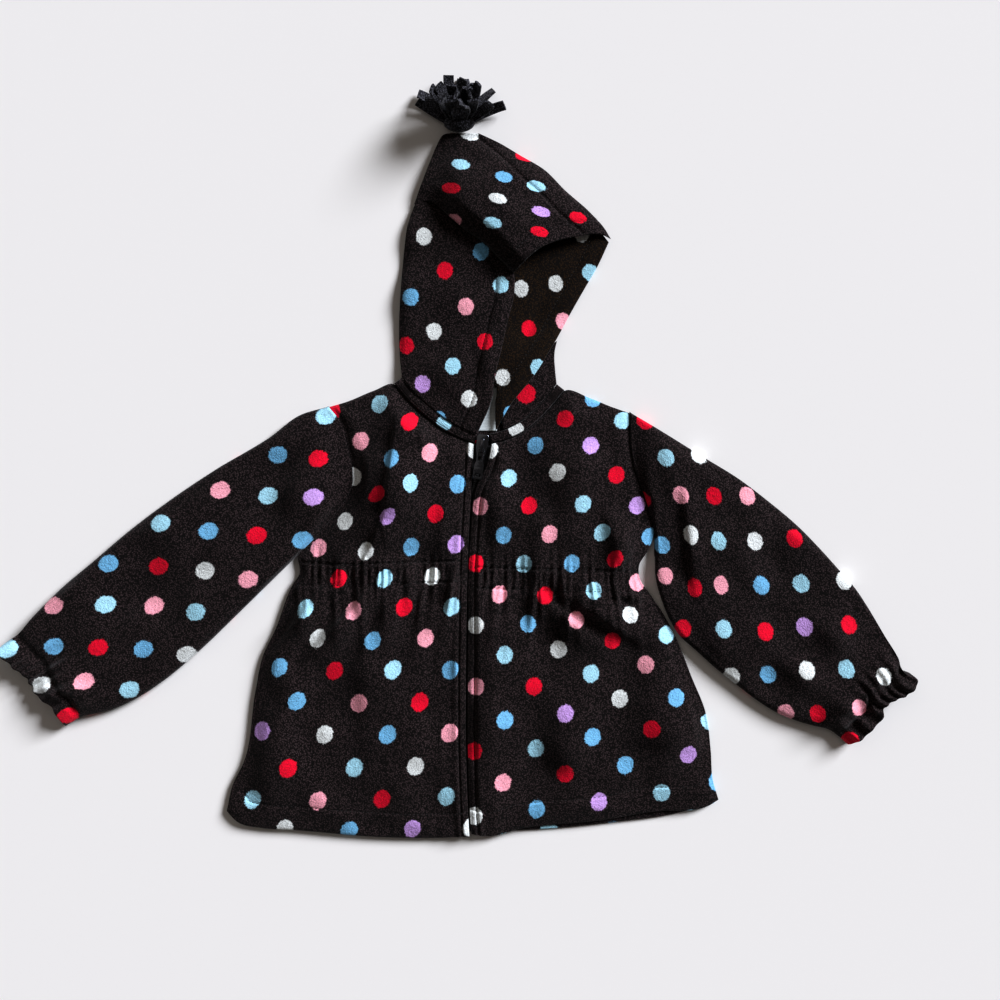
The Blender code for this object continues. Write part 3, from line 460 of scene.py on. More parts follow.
RIGHT_FRONT_DOTS = [
    (-135.3, -290, 1, -1), (-85.1, -291.3, 3, -1), (-35.7, -290, 5, -1), (-160.5, -267.1, 0, 0),
    (-109.3, -267.9, 2, 0), (-59.5, -266.6, 4, 0), (-9.2, -264.5, 6, 0), (-131.9, -241.9, 1, 1),
    (-80.7, -241.9, 3, 1), (-33.1, -240.6, 5, 1), (16, -242, 7, 1), (-152.7, -213.3, 0, 2),
    (-104.1, -216.4, 2, 2), (-54.7, -215.9, 4, 2), (-6.6, -215.1, 6, 2), (-125.4, -189.9, 1, 3),
    (-77.3, -191.7, 3, 3), (-30, -191.2, 5, 3), (-138.8, -163.5, 0, 4), (-96.3, -166.5, 2, 4),
    (-50.8, -165.2, 4, 4), (-6.2, -166.1, 6, 4), (-108.9, -141, 1, 5), (-66, -142.7, 3, 5),
    (-25.3, -141, 5, 5), (-117.6, -118, 0, 6), (-80.7, -119.3, 2, 6), (-41.7, -116.7, 4, 6),
    (-5.3, -116.7, 6, 6), (-92, -94.6, 1, 7), (-56.9, -94.6, 3, 7), (-20.5, -93.3, 5, 7),
    (-108.5, -71.2, 0, 8), (-71.2, -73.8, 2, 8), (-36.5, -70.3, 4, 8), (-2.3, -68.2, 6, 8),
    (-87.7, -50.4, 1, 9), (-55.2, -45.2, 3, 9), (-17.5, -44.3, 5, 9), (-59.9, -30, 2, 10),
    (-37, -20.1, 4, 10), (-0.6, -21.8, 6, 10), (-80.7, -17, 1, 11), (-50.8, -1.9, 3, 11),
    (-22.7, 2.5, 5, 11), (12.1, 5.9, 7, 11), (-76.4, 11.6, 2, 12), (-37.8, 27.2, 4, 12),
    (-61.7, 40.6, 3, 13),
]
RIGHT_FRONT_OWN = {(5, -1): "l", (6, 2): "p", (0, 8): "p", (1, 9): "w", (3, 9): "l"}
LEFT_FRONT_DOTS = [
    (12.4, -279.6, 1, -1), (61, -274.9, 3, -1), (109.5, -268.8, 5, -1), (158.5, -261.9, 7, -1),
    (34.5, -253.6, 2, 0), (83.1, -246.7, 4, 0), (129.9, -240.2, 6, 0), (178.8, -231.5, 8, 0),
    (12, -228.9, 1, 1), (60.5, -227.6, 3, 1), (104.3, -217.7, 5, 1), (149.8, -211.2, 7, 1),
    (36.3, -204.7, 2, 2), (83.1, -199.5, 4, 2), (125.5, -188.2, 6, 2), (168.9, -187.3, 8, 2),
    (13.7, -178.7, 1, 3), (58.8, -179.1, 3, 3), (103.4, -168.7, 5, 3), (145.9, -161.3, 7, 3),
    (36.3, -154, 2, 4), (78.3, -150.1, 4, 4), (120.3, -142.7, 6, 4), (161.9, -138.8, 8, 4),
    (13.7, -131, 1, 5), (54.5, -130.1, 3, 5), (91.3, -126.7, 5, 5), (133.3, -123.2, 7, 5),
    (31.9, -107.2, 2, 6), (66.6, -108.5, 4, 6), (104.3, -104.1, 6, 6), (137.7, -97.9, 8, 6),
    (13.7, -82.9, 1, 7), (51, -83.8, 3, 7), (88.3, -83.3, 5, 7), (120.3, -79.4, 7, 7), (35.4, -61.2, 2, 8),
    (70.5, -60.4, 4, 8), (112.1, -59.1, 6, 8), (148.5, -62.9, 8, 8), (17.2, -38.7, 1, 9),
    (54.9, -38.3, 3, 9), (96.9, -37, 5, 9), (139.8, -38.3, 7, 9), (39.3, -17, 2, 10), (76.6, -12.3, 4, 10),
    (123.4, -14.4, 6, 10), (25.4, 5.1, 1, 11), (60.1, 8.5, 3, 11), (103, 8.5, 5, 11), (83.1, 29.3, 4, 12),
    (128.1, 28, 6, 12), (105.2, 44.5, 5, 13),
]
LEFT_FRONT_OWN = {(5, -1): "l", (7, -1): "b", (6, 0): "s", (8, 0): "l", (4, 8): "p", (6, 8): "b", (7, 9): "l",
                  (5, 11): "l"}
# This panel was cut from a later run of the print.
RIGHT_FRONT_REPEAT = ("bpr", "rbw", "lws", "spr", "srb", "wsp")


def folds(table, x, y):
    """The height that a table of folds adds."""
    height = np.zeros_like(x)
    for fold in table:
        run_x, run_y = fold.x1 - fold.x0, fold.y1 - fold.y0
        share = ((x - fold.x0) * run_x + (y - fold.y0) * run_y) / (run_x**2 + run_y**2)
        held = np.clip(share, 0, 1)
        away = np.hypot(x - fold.x0 - held * run_x, y - fold.y0 - held * run_y)
        side = (run_x * (y - fold.y0) - run_y * (x - fold.x0)) / math.hypot(run_x, run_y)
        flank = fold.right + (fold.left - fold.right) * smooth(0.5 + side / min(fold.left, fold.right) / 2)
        height += LOFT * fold.rise * np.exp(-((away / flank) ** 2)) * (0.35 + 0.65 * np.sin(math.pi * held))
    return height


def zip_offset(x, y):
    """How far each point lies from the zip's line, across the coat."""
    line_x, line_y = np.array(ZIP_LINE).T
    return np.abs(x - np.interp(y, line_y, line_x))


def sewn(distance, depth=0.6, width=GROOVE):
    """The groove that a row of stitches presses into the nap."""
    return depth * np.exp(-((distance / width) ** 2))


def from_casing(x, y, casing):
    """How far each point lies above the middle of the waist's casing."""
    line = np.array(casing)
    return y - np.interp(x, line[:, 0], line[:, 1])


def waist_gathers(x, y, casing, count, deepest, seed):
    """Uneven gathers that fan out above and below the casing, each with its own place, length and depth."""
    up = from_casing(x, y, casing)
    start, end = casing[0][0], casing[-1][0]
    height = np.zeros_like(x)
    for k in range(count):
        share = (k + 0.5 + 0.42 * math.sin(7.3 * k + seed)) / count
        at = start + (end - start) * share
        lean = 0.42 * (share - 0.5) * math.copysign(1, seed) + 0.10 * math.sin(3.9 * k)
        above, below = 10 + 9 * math.sin(3.1 * k + seed) ** 2, 16 + 30 * math.sin(5.7 * k + 2 * seed) ** 2
        width = 1.8 + 0.5 * math.sin(2.3 * k + seed) + 0.04 * np.abs(up)
        across = (x - at - lean * np.minimum(up, 0) * 0.8 + 0.12 * lean * np.maximum(up, 0)) / width
        reach = np.where(up > 0, up / above, -up / below)
        rise = deepest * (0.72 + 0.28 * math.sin(4.7 * k + 1.3 * seed))
        height += rise * np.exp(-(across**2)) * np.exp(-(reach**2))
    return height * smooth((x - start) / 8) * smooth((end - x) / 8)


def front(name, node, outline, table, casing, gathers, seed, dots, flat, ease, **print_of):
    """One front, with its hem turned up, its zip edge turned in and its gathers, a count and a depth."""
    by_zip = (1 - 9 / PANEL_SIZE, 1, 12) if list(outline)[1] == "centre" else (0, 9 / PANEL_SIZE, 12)
    u = spaced(186, *rim_lines(PANEL_SIZE), by_zip)
    v = spaced(130, (0, 0.006, 4), (0.04, 0.075, 14), (0.59, 0.74, 60))
    x, y = patch(*outline.values(), u, v)
    across = zip_offset(x, y)
    order = ("low", "centre", "side", "top")
    (to_hem, to_zip, to_side, to_top), rim = nearest(x, y, [outline[edge] for edge in order])
    fade = smooth(np.minimum(np.minimum(to_side / 14, to_top / 16), np.minimum(to_zip / 12, to_hem / 14)))
    # What lies under the front lifts it, then come its folds and gathers, and the cloth's own unevenness.
    top = BODY_TOP + TAPE_LIFT * smooth((TAPE_REACH + 6 - across) / 8)
    top += COIL_LIFT * smooth((COIL_REACH + 5 - across) / 5)
    top += folds(table, x, y) * fade
    top += waist_gathers(x, y, casing, *gathers, seed) * smooth(to_zip / 9) * smooth(to_side / 7)
    top += (2.2 + 2.3 * waver(x, y, 74, seed + 2) + 1.1 * waver(x, y, 38, seed)) * fade
    top += 0.05 * waver(x, y, 12, seed + 1)
    # The turned edges are two layers thick, and each row of stitches draws the cloth down.
    top += 0.5 * smooth((to_zip - 0.8) / 2) * (1 - smooth((to_zip - ZIP_STITCH + 1.6) / 1.6))
    top += 0.7 * smooth(to_hem / 3) * (1 - smooth((to_hem - HEM_DEPTH + 2) / 2))
    top -= sewn(to_hem - HEM_DEPTH) * smooth(to_zip / 2)
    top -= sewn(to_zip - ZIP_STITCH, 1.5, 0.95)
    for row in (-CASING_HALF, CASING_HALF):
        top -= sewn(from_casing(x, y, casing) - row, 1.5, 1.0) * smooth((to_zip - 5) / 3)
    top -= 1.2 * (1 - smooth(to_side / 5)) + 0.5 * (1 - smooth(to_top / 4))
    roll = rolled(rim)
    rest = np.where(across < TAPE_REACH, TAPE_TOP + GAP, BACK_TOP + GAP)
    rest = np.where(across < COIL_REACH, COIL_TOP + GAP, rest)
    under = np.maximum(top - WALL * 1.1, rest) + roll
    top = np.maximum(top, rest + WALL * 0.75) - roll
    made = layer(name, x, y, top, np.minimum(under, top - 0.2), charted(x, y, dots), **print_of)
    dress(made, printed_fleece, node)
    return made


front_right = front("front_panel_right", "front_right", RIGHT_FRONT, RIGHT_FRONT_FOLDS, RIGHT_CASING,
                    (30, 4.2), 1.0, RIGHT_FRONT_DOTS, (0.230, 0.370), 1.08, repeat=RIGHT_FRONT_REPEAT,
                    own=RIGHT_FRONT_OWN)
front_left = front("front_panel_left", "front_left", LEFT_FRONT, LEFT_FRONT_FOLDS, LEFT_CASING,
                   (28, 3.3), -1.0, LEFT_FRONT_DOTS, (0.225, 0.370), 1.06, own=LEFT_FRONT_OWN)

# ---- The sleeves ----
# Each is one piece of printed fleece, folded along its upper edge and sewn under the arm, then set into the
# armhole. Elastic in a casing 15 mm from the cuff's edge draws the cuff in, and the cloth past it ruffles.

SLEEVE_HEIGHT = 8.0  # of the flattened tube, both layers and the gap between them
CUFF_ELASTIC = 0.945  # where the elastic lies, as a share of the sleeve's length
SEAM_TUCK = 0.9  # how far the raw edge goes under the front
RIGHT_SLEEVE = {
    "top": [(-102.4, 38.9), (-123.6, 32.4), (-147, 15.2), (-190, -10.5), (-225, -34), (-256, -57.3),
            (-283.5, -80.7), (-311, -104), (-330.3, -123.6), (-342.6, -138), (-351.4, -144)],
    "cuff": [(-351.4, -144), (-356, -150.5), (-351.4, -157), (-343.6, -165), (-335, -172.5),
             (-327.5, -184.5), (-313.5, -196.5), (-306.2, -210)],
    "under": [(-126.5, -77.8), (-147, -98), (-170.4, -121), (-201.6, -151), (-229, -174), (-248.4, -187),
              (-267, -196), (-281, -200), (-294, -203), (-306.2, -210)],
    "armhole": [(-102.4, 38.9), (-92, 25.2), (-88.1, 10), (-84.4, -6), (-84.1, -24), (-97.4, -45.5),
                (-112.4, -63.4), (-126.5, -77.8)],
}
LEFT_SLEEVE = {
    "top": [(134.2, 34.4), (157, 20.7), (188.4, 1.2), (220, -18.3), (240.6, -34), (264.4, -54),
            (283, -73), (297.6, -89.3), (308, -101), (320, -119), (330, -137), (338, -151.7),
            (342.6, -164.5), (351.4, -168.5)],
    "cuff": [(351.4, -168.5), (356, -173.6), (348.3, -184.5), (338, -189), (329.6, -195), (328.4, -203),
             (321, -211), (313.9, -218.8), (303.8, -224.5)],
    "under": [(153.6, -78.4), (154, -95.5), (158.6, -112), (165, -127.5), (172, -139), (185, -151),
              (203, -167), (217, -178), (233.6, -190.7), (250.8, -201), (266.4, -207), (277.3, -210),
              (288, -212.5), (303.8, -224.5)],
    "armhole": [(134.2, 34.4), (134.8, 10), (137, -6), (145.6, -31), (153.3, -61), (153.6, -78.4)],
}
RIGHT_SLEEVE_FOLDS = [
    Fold(-150, 2, -240, -66, 1.8, 10, 14),
    Fold(-118, 6, -136, -66, 2.2, 12, 10),
    Fold(-318, -184, -286, -180, 4.2, 5, 8),
    Fold(-326, -168, -302, -160, 2.8, 5, 6),
    Fold(-236, -120, -292, -150, 1.9, 13, 13),
    Fold(-156, -92, -232, -158, 1.6, 9, 11),
]
LEFT_SLEEVE_FOLDS = [
    Fold(176, -24, 184, -104, 4.2, 10, 4),
    Fold(160, 14, 170, -40, 1.6, 9, 7),
    Fold(214, -44, 232, -118, 1.8, 15, 12),
    Fold(272, -120, 312, -160, 2.8, 12, 9),
    Fold(236, -150, 292, -186, 2.4, 12, 10),
    Fold(308, -188, 290, -204, 3.6, 6, 6),
    Fold(326, -176, 318, -190, 2.8, 5, 5),
]
RIGHT_SLEEVE_DOTS = [
    (-313.9, -115.8, 2, 0), (-274.2, -115, 3, 1), (-236.7, -115.8, 4, 2), (-203.2, -120.5, 5, 3),
    (-348.3, -149.4, 2, -2), (-313.9, -147.8, 3, -1), (-278.9, -148.6, 4, 0), (-243.8, -149.4, 5, 1),
    (-211, -154.1, 6, 2), (-271.8, -83.1, 2, 2), (-232.8, -85.4, 3, 3), (-196.2, -88.5, 4, 4),
    (-162.6, -95.5, 5, 5), (-230.5, -51.9, 2, 4), (-193.8, -58.1, 3, 5), (-156.4, -61.2, 4, 6),
    (-121.3, -65.1, 5, 7), (-184.5, -26.1, 2, 6), (-147.8, -30.8, 3, 7), (-111.9, -31.6, 4, 8),
    (-140, 1.2, 2, 8), (-108.8, -2, 3, 9), (-103.4, 31.6, 2, 10), (-303, -200.8, 6, -2),
    (-289, -173.6, 5, -1), (-255.5, -181.3, 6, 0), (-322.8, -177.4, 4, -2), (-166, -131, 6, 4),
]
LEFT_SLEEVE_DOTS = [
    (161.1, -1.2, 6, 6), (186.8, 1.2, 7, 5), (172.8, -30, 5, 5), (198.5, -30.8, 6, 4), (224.2, -30.8, 7, 3),
    (180.6, -59.7, 4, 4), (200.8, -65.9, 5, 3), (229.7, -65.9, 6, 2), (260.9, -63.6, 7, 1),
    (184.5, -102.6, 3, 3), (202.4, -99.5, 4, 2), (235.2, -100.2, 5, 1), (266.4, -98.7, 6, 0),
    (299.9, -96.3, 7, -1), (174.3, -133.8, 2, 2), (205.5, -133.8, 3, 1), (238.3, -136.1, 4, 0),
    (268.7, -132.2, 5, -1), (303, -130.7, 6, -2), (212.6, -171.2, 2, 0), (240.6, -169.7, 3, -1),
    (269.5, -165.8, 4, -2), (300.7, -165, 5, -3), (329.6, -171.2, 6, -4), (255.5, -199.3, 2, -2),
    (278.9, -200.1, 3, -3), (310.8, -194.6, 4, -4), (303.8, -219.6, 3, -5), (144.9, 27.9, 7, 7),
    (159.4, -70.1, 3, 5), (161.3, -91.6, 2, 4), (343, -127, 7, -3),
]
RIGHT_SLEEVE_OWN = {(4, 2): "p"}
LEFT_SLEEVE_OWN = {(4, 2): "p", (2, 4): "p", (2, 2): "r", (5, -1): "l", (2, 0): "w", (2, -2): "p",
                   (4, -4): "p", (3, -5): "r"}


def sleeve_ring(corner, upper, lower):
    """Once round the flattened tube: how far across each point is, and its turn in radians."""
    share = [np.zeros(corner), np.linspace(0, 1, upper + 1), np.ones(2 * corner - 1)]
    turn = [np.linspace(math.pi, math.pi / 2, corner, endpoint=False), np.full(upper + 1, math.pi / 2),
            np.linspace(math.pi / 2, -math.pi / 2, 2 * corner, endpoint=False)[1:]]
    share += [np.linspace(1, 0, lower + 1), np.zeros(corner)]
    turn += [np.full(lower + 1, -math.pi / 2), np.linspace(-math.pi / 2, -math.pi, corner + 1)[1:]]
    return np.concatenate(share), np.concatenate(turn)


def sleeve(name, node, outline, table, dots, seed, own):
    """A flattened tube in one strip: out along the outside of the cloth, then back along its inside."""
    share, turn = sleeve_ring(6, 84, 30)
    s = spaced(92, (0, 0.02, 5), (0.915, 0.975, 16), (0.98, 1, 6))
    s = np.concatenate([s, s[::-1], s[:1]])[:, None]
    rows = (len(s) - 1) // 2
    inside = (np.arange(len(s)) >= rows)[:, None] & (np.arange(len(s)) < 2 * rows)[:, None]
    fold, seam = (along(outline[edge], s[:, 0]) for edge in ("top", "under"))
    width = np.hypot(*(fold - seam).T)[:, None]
    fold, seam = fold[:, None], seam[:, None]
    cuff = smooth((s - 0.8) / 0.12)
    pinch = np.exp(-(((s - CUFF_ELASTIC) / 0.013) ** 2))
    height = (SLEEVE_HEIGHT + 0.9 * cuff) * (0.64 + 0.36 * smooth(s / 0.07))
    inner = height / 2 - np.where(inside, WALL * 0.8, 0)
    w = (height / 2 + (width - height) * share + inner * np.cos(turn)) / width
    z = height / 2 + inner * np.sin(turn)
    low, high = (along(outline[edge], w.ravel()).reshape(*w.shape, 2) for edge in ("armhole", "cuff"))
    ends = [np.array(outline[edge][k], float) for edge in ("armhole", "cuff") for k in (0, -1)]
    w3, s3 = w[..., None], s[..., None]
    corners = (1 - w3) * ((1 - s3) * ends[0] + s3 * ends[2]) + w3 * ((1 - s3) * ends[1] + s3 * ends[3])
    place = (1 - s3) * low + s3 * high + (1 - w3) * fold + w3 * seam - corners
    x, y = place[..., 0], place[..., 1]
    upper = np.sin(turn) > -0.05
    middle = smooth(np.minimum(w, 1 - w) / 0.1)
    past = smooth((s - CUFF_ELASTIC) / 0.03)
    wave = np.sin(2 * math.pi * (8.5 * w + 0.35 * np.sin(9 * w + seed)))
    wave *= 0.75 + 0.25 * np.sin(23 * w + seed)
    ruffle = wave * (1.5 * cuff * (1 - past) * smooth((s - 0.84) / 0.08) + 2.4 * past)
    swell = 1.6 * cuff * (1 - pinch) - 1.8 * pinch
    creases = folds(table, x, y) * smooth(s / 0.06) * smooth((1 - s) / 0.04)
    creases += (2.0 + 2.6 * waver(x, y, 80, seed + 2) + 1.3 * waver(x, y, 40, seed)) * smooth(s / 0.1)
    creases += 0.05 * waver(x, y, 12, seed + 1)
    z += np.where(upper, (creases + ruffle + swell) * middle, 0)
    # The sleeve's raw edge is tucked under the front, where the armhole seam takes it.
    starts = [along(outline[edge], np.array([0.0, 0.02])) for edge in ("under", "top")]
    pull = sum(first - second for first, second in starts)
    tuck = SEAM_TUCK * (1 - smooth(s / 0.004)) / np.hypot(*pull)
    x, y = x + tuck * pull[0], y + tuck * pull[1]
    # The lower face's print is the upper face's, run on over the fold along the sleeve's upper edge.
    printed = np.where(upper[..., None] | (w3 < 1e-6), place, 2 * fold - place)
    grid = charted(printed[..., 0], printed[..., 1], dots)
    data, _, at = gridded(name, *w.shape, walled=False)
    made = settle(name, data, np.stack([x[at], y[at], z[at]], -1), grid[at], own=own)
    dress(made, printed_fleece, node)


sleeve("sleeve_tube_right", "sleeve_right", RIGHT_SLEEVE, RIGHT_SLEEVE_FOLDS, RIGHT_SLEEVE_DOTS, 2.0,
       RIGHT_SLEEVE_OWN)
sleeve("sleeve_tube_left", "sleeve_left", LEFT_SLEEVE, LEFT_SLEEVE_FOLDS, LEFT_SLEEVE_DOTS, 3.0,
       LEFT_SLEEVE_OWN)

# ---- The hood ----
# Two shaped sides of printed fleece, sewn over the head and round the neck, with a 14 mm hem along the
# face. It is laid on its side: the near side outside up, the far side inside up, and their crown folded
# over both.

HOOD_START = 8.2  # how far above the neck seam the hood's cloth comes out from under the band
NEAR_HEM = 14.5  # from the edge of the face to its topstitching, as each piece is laid
FAR_HEM = 14.0
CROWN_HEM = 11.0
SECOND_LAYER = BACK_TOP + GAP


def beside(line, distance):
    """The same line, moved to its left hand."""
    moved = []
    for k, (px, py) in enumerate(line):
        (ax, ay), (bx, by) = line[max(k - 1, 0)], line[min(k + 1, len(line) - 1)]
        length = math.dist((ax, ay), (bx, by))
        moved.append((px - (by - ay) / length * distance, py + (bx - ax) / length * distance))
    return moved


HOOD_RIGHT_LOW = beside(NECK_RIGHT, HOOD_START)
HOOD_RIGHT = {
    "low": HOOD_RIGHT_LOW,
    "front": [HOOD_RIGHT_LOW[-1], (26.6, 47.2), (27.7, 57.3), (34.7, 88), (38.6, 106.5), (43.3, 125),
              (43.3, 144), (36, 166)],
    "top": [(-24, 214), (-8, 206), (8, 195), (24, 182), (36, 166)],
    "back": [HOOD_RIGHT_LOW[0], (-45.6, 75), (-46.4, 98.7), (-45, 130), (-42.5, 161), (-39.6, 180.6),
             (-34.5, 196), (-24, 214)],
}
HOOD_LEFT = {
    "low": [(-39, 62.4), (-10, 61), (20, 60), (28.6, 57), (28.6, 40), (29, 19.8)],
    "edge": [(29, 19.8), (40.2, 39.4), (58.9, 63), (74.5, 88), (87, 111), (99.5, 133), (108, 147.5),
             (117.4, 167.5)],
    "top": [(-31, 198), (-26, 211), (-19, 229), (-10, 248.4), (14, 249), (31, 241.4), (47, 232),
            (66, 220.5), (81.4, 205), (101, 188), (117.4, 167.5)],
    "back": [(-39, 62.4), (-41, 76), (-42, 99), (-40.6, 130), (-38, 161), (-35.4, 181), (-31, 198)],
}
HOOD_TURN_LOW = beside(NECK_LEFT, HOOD_START)[1:]
HOOD_TURN = {
    "low": HOOD_TURN_LOW,
    "side": [HOOD_TURN_LOW[-1], (75.6, 66), (75.3, 83), (77, 90.5)],
    "top": [(33, 31), (40, 43), (56, 67.5), (66, 83), (77, 90.5)],
    "edge": [HOOD_TURN_LOW[0], (33, 31)],
}
CROWN = {
    "fold": [(-34.7, 197), (-22, 198.6), (-8.2, 188), (6, 175.6), (20, 166), (32.4, 153.3), (43.3, 143)],
    "mouth": [(43.3, 143), (51, 150), (62, 159.5), (79, 167.3), (95, 171), (112, 172.6), (119, 169.7)],
    "back": [(16, 252.3), (32.4, 244.5), (48, 235.2), (67.5, 223.5), (83, 208), (102.6, 190.7),
             (114, 178), (119, 169.7)],
    "peak": [(-34.7, 197), (-30, 209.4), (-22.2, 229.7), (-17.6, 241.4), (-12, 251), (1, 252.3),
             (16, 252.3)],
}
HOOD_RIGHT_FOLDS = [
    Fold(-20, 192, 30, 140, -1.4, 9, 9),
    Fold(-36, 70, -34, 176, 1.6, 9, 12),
    Fold(24, 60, 38, 124, 1.4, 7, 6),
    Fold(-24, 60, 2, 34, -0.9, 7, 7),
]
HOOD_LEFT_FOLDS = [
    Fold(52, 60, 92, 132, 1.6, 9, 9),
    Fold(48, 80, 70, 130, -1.2, 5, 5),
    Fold(36, 44, 62, 92, 1.2, 5, 6),
]
CROWN_FOLDS = [
    Fold(-8, 240, 6, 196, 1.6, 9, 9),
    Fold(20, 210, 52, 176, 1.2, 9, 9),
]
CROWN_SEAM = [(16, 248), (30, 236), (42, 224), (54, 212), (68, 200), (74, 193), (98, 172)]
HOOD_RIGHT_DOTS = [
    (-26.9, 171.2, 3, 1), (17.6, 159.5, 5, 1), (-10.5, 144.7, 4, 0), (33.1, 133.8, 6, 0),
    (-37.1, 123.6, 3, -1), (5.9, 116.6, 5, -1), (-19.1, 97.1, 4, -2), (20.7, 89.3, 6, -2),
    (-40.2, 87, 3, -3), (-4.3, 69.8, 5, -3), (34.7, 61.2, 7, -3), (-27.7, 56.6, 4, -4), (8.2, 44.9, 6, -4),
]
CROWN_DOTS = [
    (2, 225.8, 0, 0), (35.5, 214.9, 1, 1), (58.1, 209.4, 2, 2), (-5.9, 207.1, -1, 1), (30.8, 197.7, 0, 2),
    (64.4, 187.6, 1, 3), (92.4, 185.3, 2, 4), (26.9, 179, -1, 3), (63.6, 173.6, 0, 4), (9, 250.8, 1, -1),
    (53.4, 233.6, 2, 0), (-4, 183, -2, 2),
]
CROWN_OWN = {(0, 0): "b", (1, 1): "s", (2, 2): "b", (-1, 1): "r", (0, 2): "w", (1, 3): "l", (2, 4): "r",
             (-1, 3): "b", (0, 4): "r", (1, -1): "w", (2, 0): "r", (-2, 2): "p", (-3, 3): "p", (-3, 1): "k",
             (-1, 5): "k", (-2, 4): "k", (-4, 2): "k"}
HOOD_LEFT_DOTS = [
    (48.8, 131.4, 0, 0), (76, 135.3, 1, 1), (102.6, 143.9, 2, 2), (55, 100.2, 1, -1), (81.5, 105.7, 2, 0),
    (62, 69, 2, -2), (41, 33, 2, -4), (34.7, 61.2, 1, -3),
]
HOOD_TURN_DOTS = [(52.7, 48.8, 0, 0), (88, 48.8, 1, 1), (52.7, 84, -1, 1)]
HOOD_LEFT_OWN = {(0, 0): "w", (1, 1): "w", (2, 2): "b", (1, -1): "r", (2, 0): "p", (2, -2): "b", (2, -4): "s",
                 (1, -3): "w", (0, 2): "k", (-1, 1): "k", (1, 3): "w"}


def left_lift(x, y):
    """The far side of the hood climbs over its own turned part at the neck."""
    return 5.0 * (1 - smooth((y - 74) / 40)) * smooth((x - 6) / 20)


def turn_lift(x, y):
    """The turned side lies on the back's neck, then comes down to the table."""
    return SECOND_LAYER * (1 - smooth((y - 56) / 26))


def hood_piece(name, node, outline, counts, size, shape, rest, dots, sheet, ease=1.0, finish=printed_fleece,
               **print_of):
    """One piece of the hood: `shape` gives its upper face from x, y, u, v and its distance from each edge."""
    columns, rows = counts
    u = spaced(columns, *rim_lines(size))
    v = spaced(rows, *rim_lines(size * rows / columns))
    x, y = patch(*outline.values(), u, v)
    away, rim = nearest(x, y, outline.values())
    top = shape(x, y, u[None, :] + 0 * x, v[:, None] + 0 * x, away)
    roll = rolled(rim)
    under = np.maximum(top - WALL, rest(x, y)) + roll
    made = layer(name, x, y, top - roll, np.minimum(under, top - roll - 0.2), charted(x, y, dots), **print_of)
    dress(made, finish, node)
    return made


def far_side(x, y, u, v, edges):
    hem = edges[1]
    height = BACK_TOP + left_lift(x, y) + 1.2 * smooth((FAR_HEM - hem) / 5) * smooth(v / 0.08)
    height += folds(HOOD_LEFT_FOLDS, x, y) * smooth(hem / 6) * smooth(v / 0.1)
    return height - sewn(hem - FAR_HEM, 0.8) + 0.3 * waver(x, y, 26, 5.0) * smooth(hem / 5)


def turned_side(x, y, u, v, edges):
    return BACK_TOP + turn_lift(x, y) + 0.4 * np.sin(math.pi * u) * np.sin(math.pi * v)


def near_side(x, y, u, v, edges):
    low, hem, high, back_edge = edges
    lift = np.maximum(SECOND_LAYER * (1 - smooth((y - 62) / 26)), left_lift(x, y))
    height = BODY_TOP + lift + 1.1 * smooth((15 - hem) / 4) - 1.0 * (1 - smooth(back_edge / 5))
    height += 2.6 * np.sin(math.pi * u) * smooth((v - 0.02) / 0.2) * (1 - 0.6 * smooth((v - 0.75) / 0.25))
    height += folds(HOOD_RIGHT_FOLDS, x, y) * smooth(np.minimum(np.minimum(low, high), hem) / 9)
    height += 1.5 * waver(x, y, 50, 4.0) * smooth(hem / 8) + 0.05 * waver(x, y, 13, 4.4)
    return height - sewn(hem - NEAR_HEM, 0.9)


def crown(x, y, u, v, edges):
    """The crown swells over the hood's mouth: steep at the fold, easing down to the back seam."""
    fold, mouth = edges[:2]
    clear = 2.6 * (1 - smooth((v - 0.3) / 0.3))
    clear -= 3.2 * (1 - smooth((u - 0.05) / 0.3)) * (1 - smooth(fold / 15))
    swell = 15.0 * smooth(u / 0.45) * (1 - 0.22 * smooth((u - 0.75) / 0.25))
    section = (0.42 + 0.58 * smooth(v / 0.16)) * np.cos(math.pi / 2 * np.maximum(0, (v - 0.16) / 0.84)) ** 0.8
    height = BODY_TOP + clear + swell * section
    fade = smooth(np.minimum.reduce(edges) / 8)
    height += folds(CROWN_FOLDS, x, y) * fade + 0.35 * waver(x, y, 34, 6.0) * fade
    height -= rolled(fold, 5.0) * smooth((u - 0.15) / 0.2)
    height -= sewn(from_line(x, y, CROWN_SEAM), 1.5, 1.6) * smooth(mouth / 2)
    return height - sewn(mouth - CROWN_HEM, 0.9) * smooth(u / 0.1)


# The far side shows the fleece's reverse, inside up. Its ground is browner and dimmer than the outside's: painted
# shade for the hollow under the crown.
shaded_reverse_fleece = fleece("reverse of the fleece, in painted shade", "0C0502", "3A2813", True)
hood_left = hood_piece("hood_far_side", "hood_left_side", HOOD_LEFT, (110, 120), 150, far_side, left_lift,
                       HOOD_LEFT_DOTS, dict(flat=(0.160, 0.235), held="laid"), finish=shaded_reverse_fleece,
                       own=HOOD_LEFT_OWN)
hood_piece("hood_far_side_turned", "hood_left_turn", HOOD_TURN, (60, 36), 60, turned_side, turn_lift,
           HOOD_TURN_DOTS, dict(flat=(0.062, 0.060), held="folded"), repeat=BARE, own={(0, 0): "r"})
hood_right = hood_piece("hood_near_side", "hood_right_side", HOOD_RIGHT, (110, 160), 85, near_side,
                        lambda x, y: SECOND_LAYER + left_lift(x, y), HOOD_RIGHT_DOTS,
                        dict(flat=(0.100, 0.200), held="laid", rests_on=["hood_far_side"]),
                        own={(3, 1): "w", (4, 2): "k"})
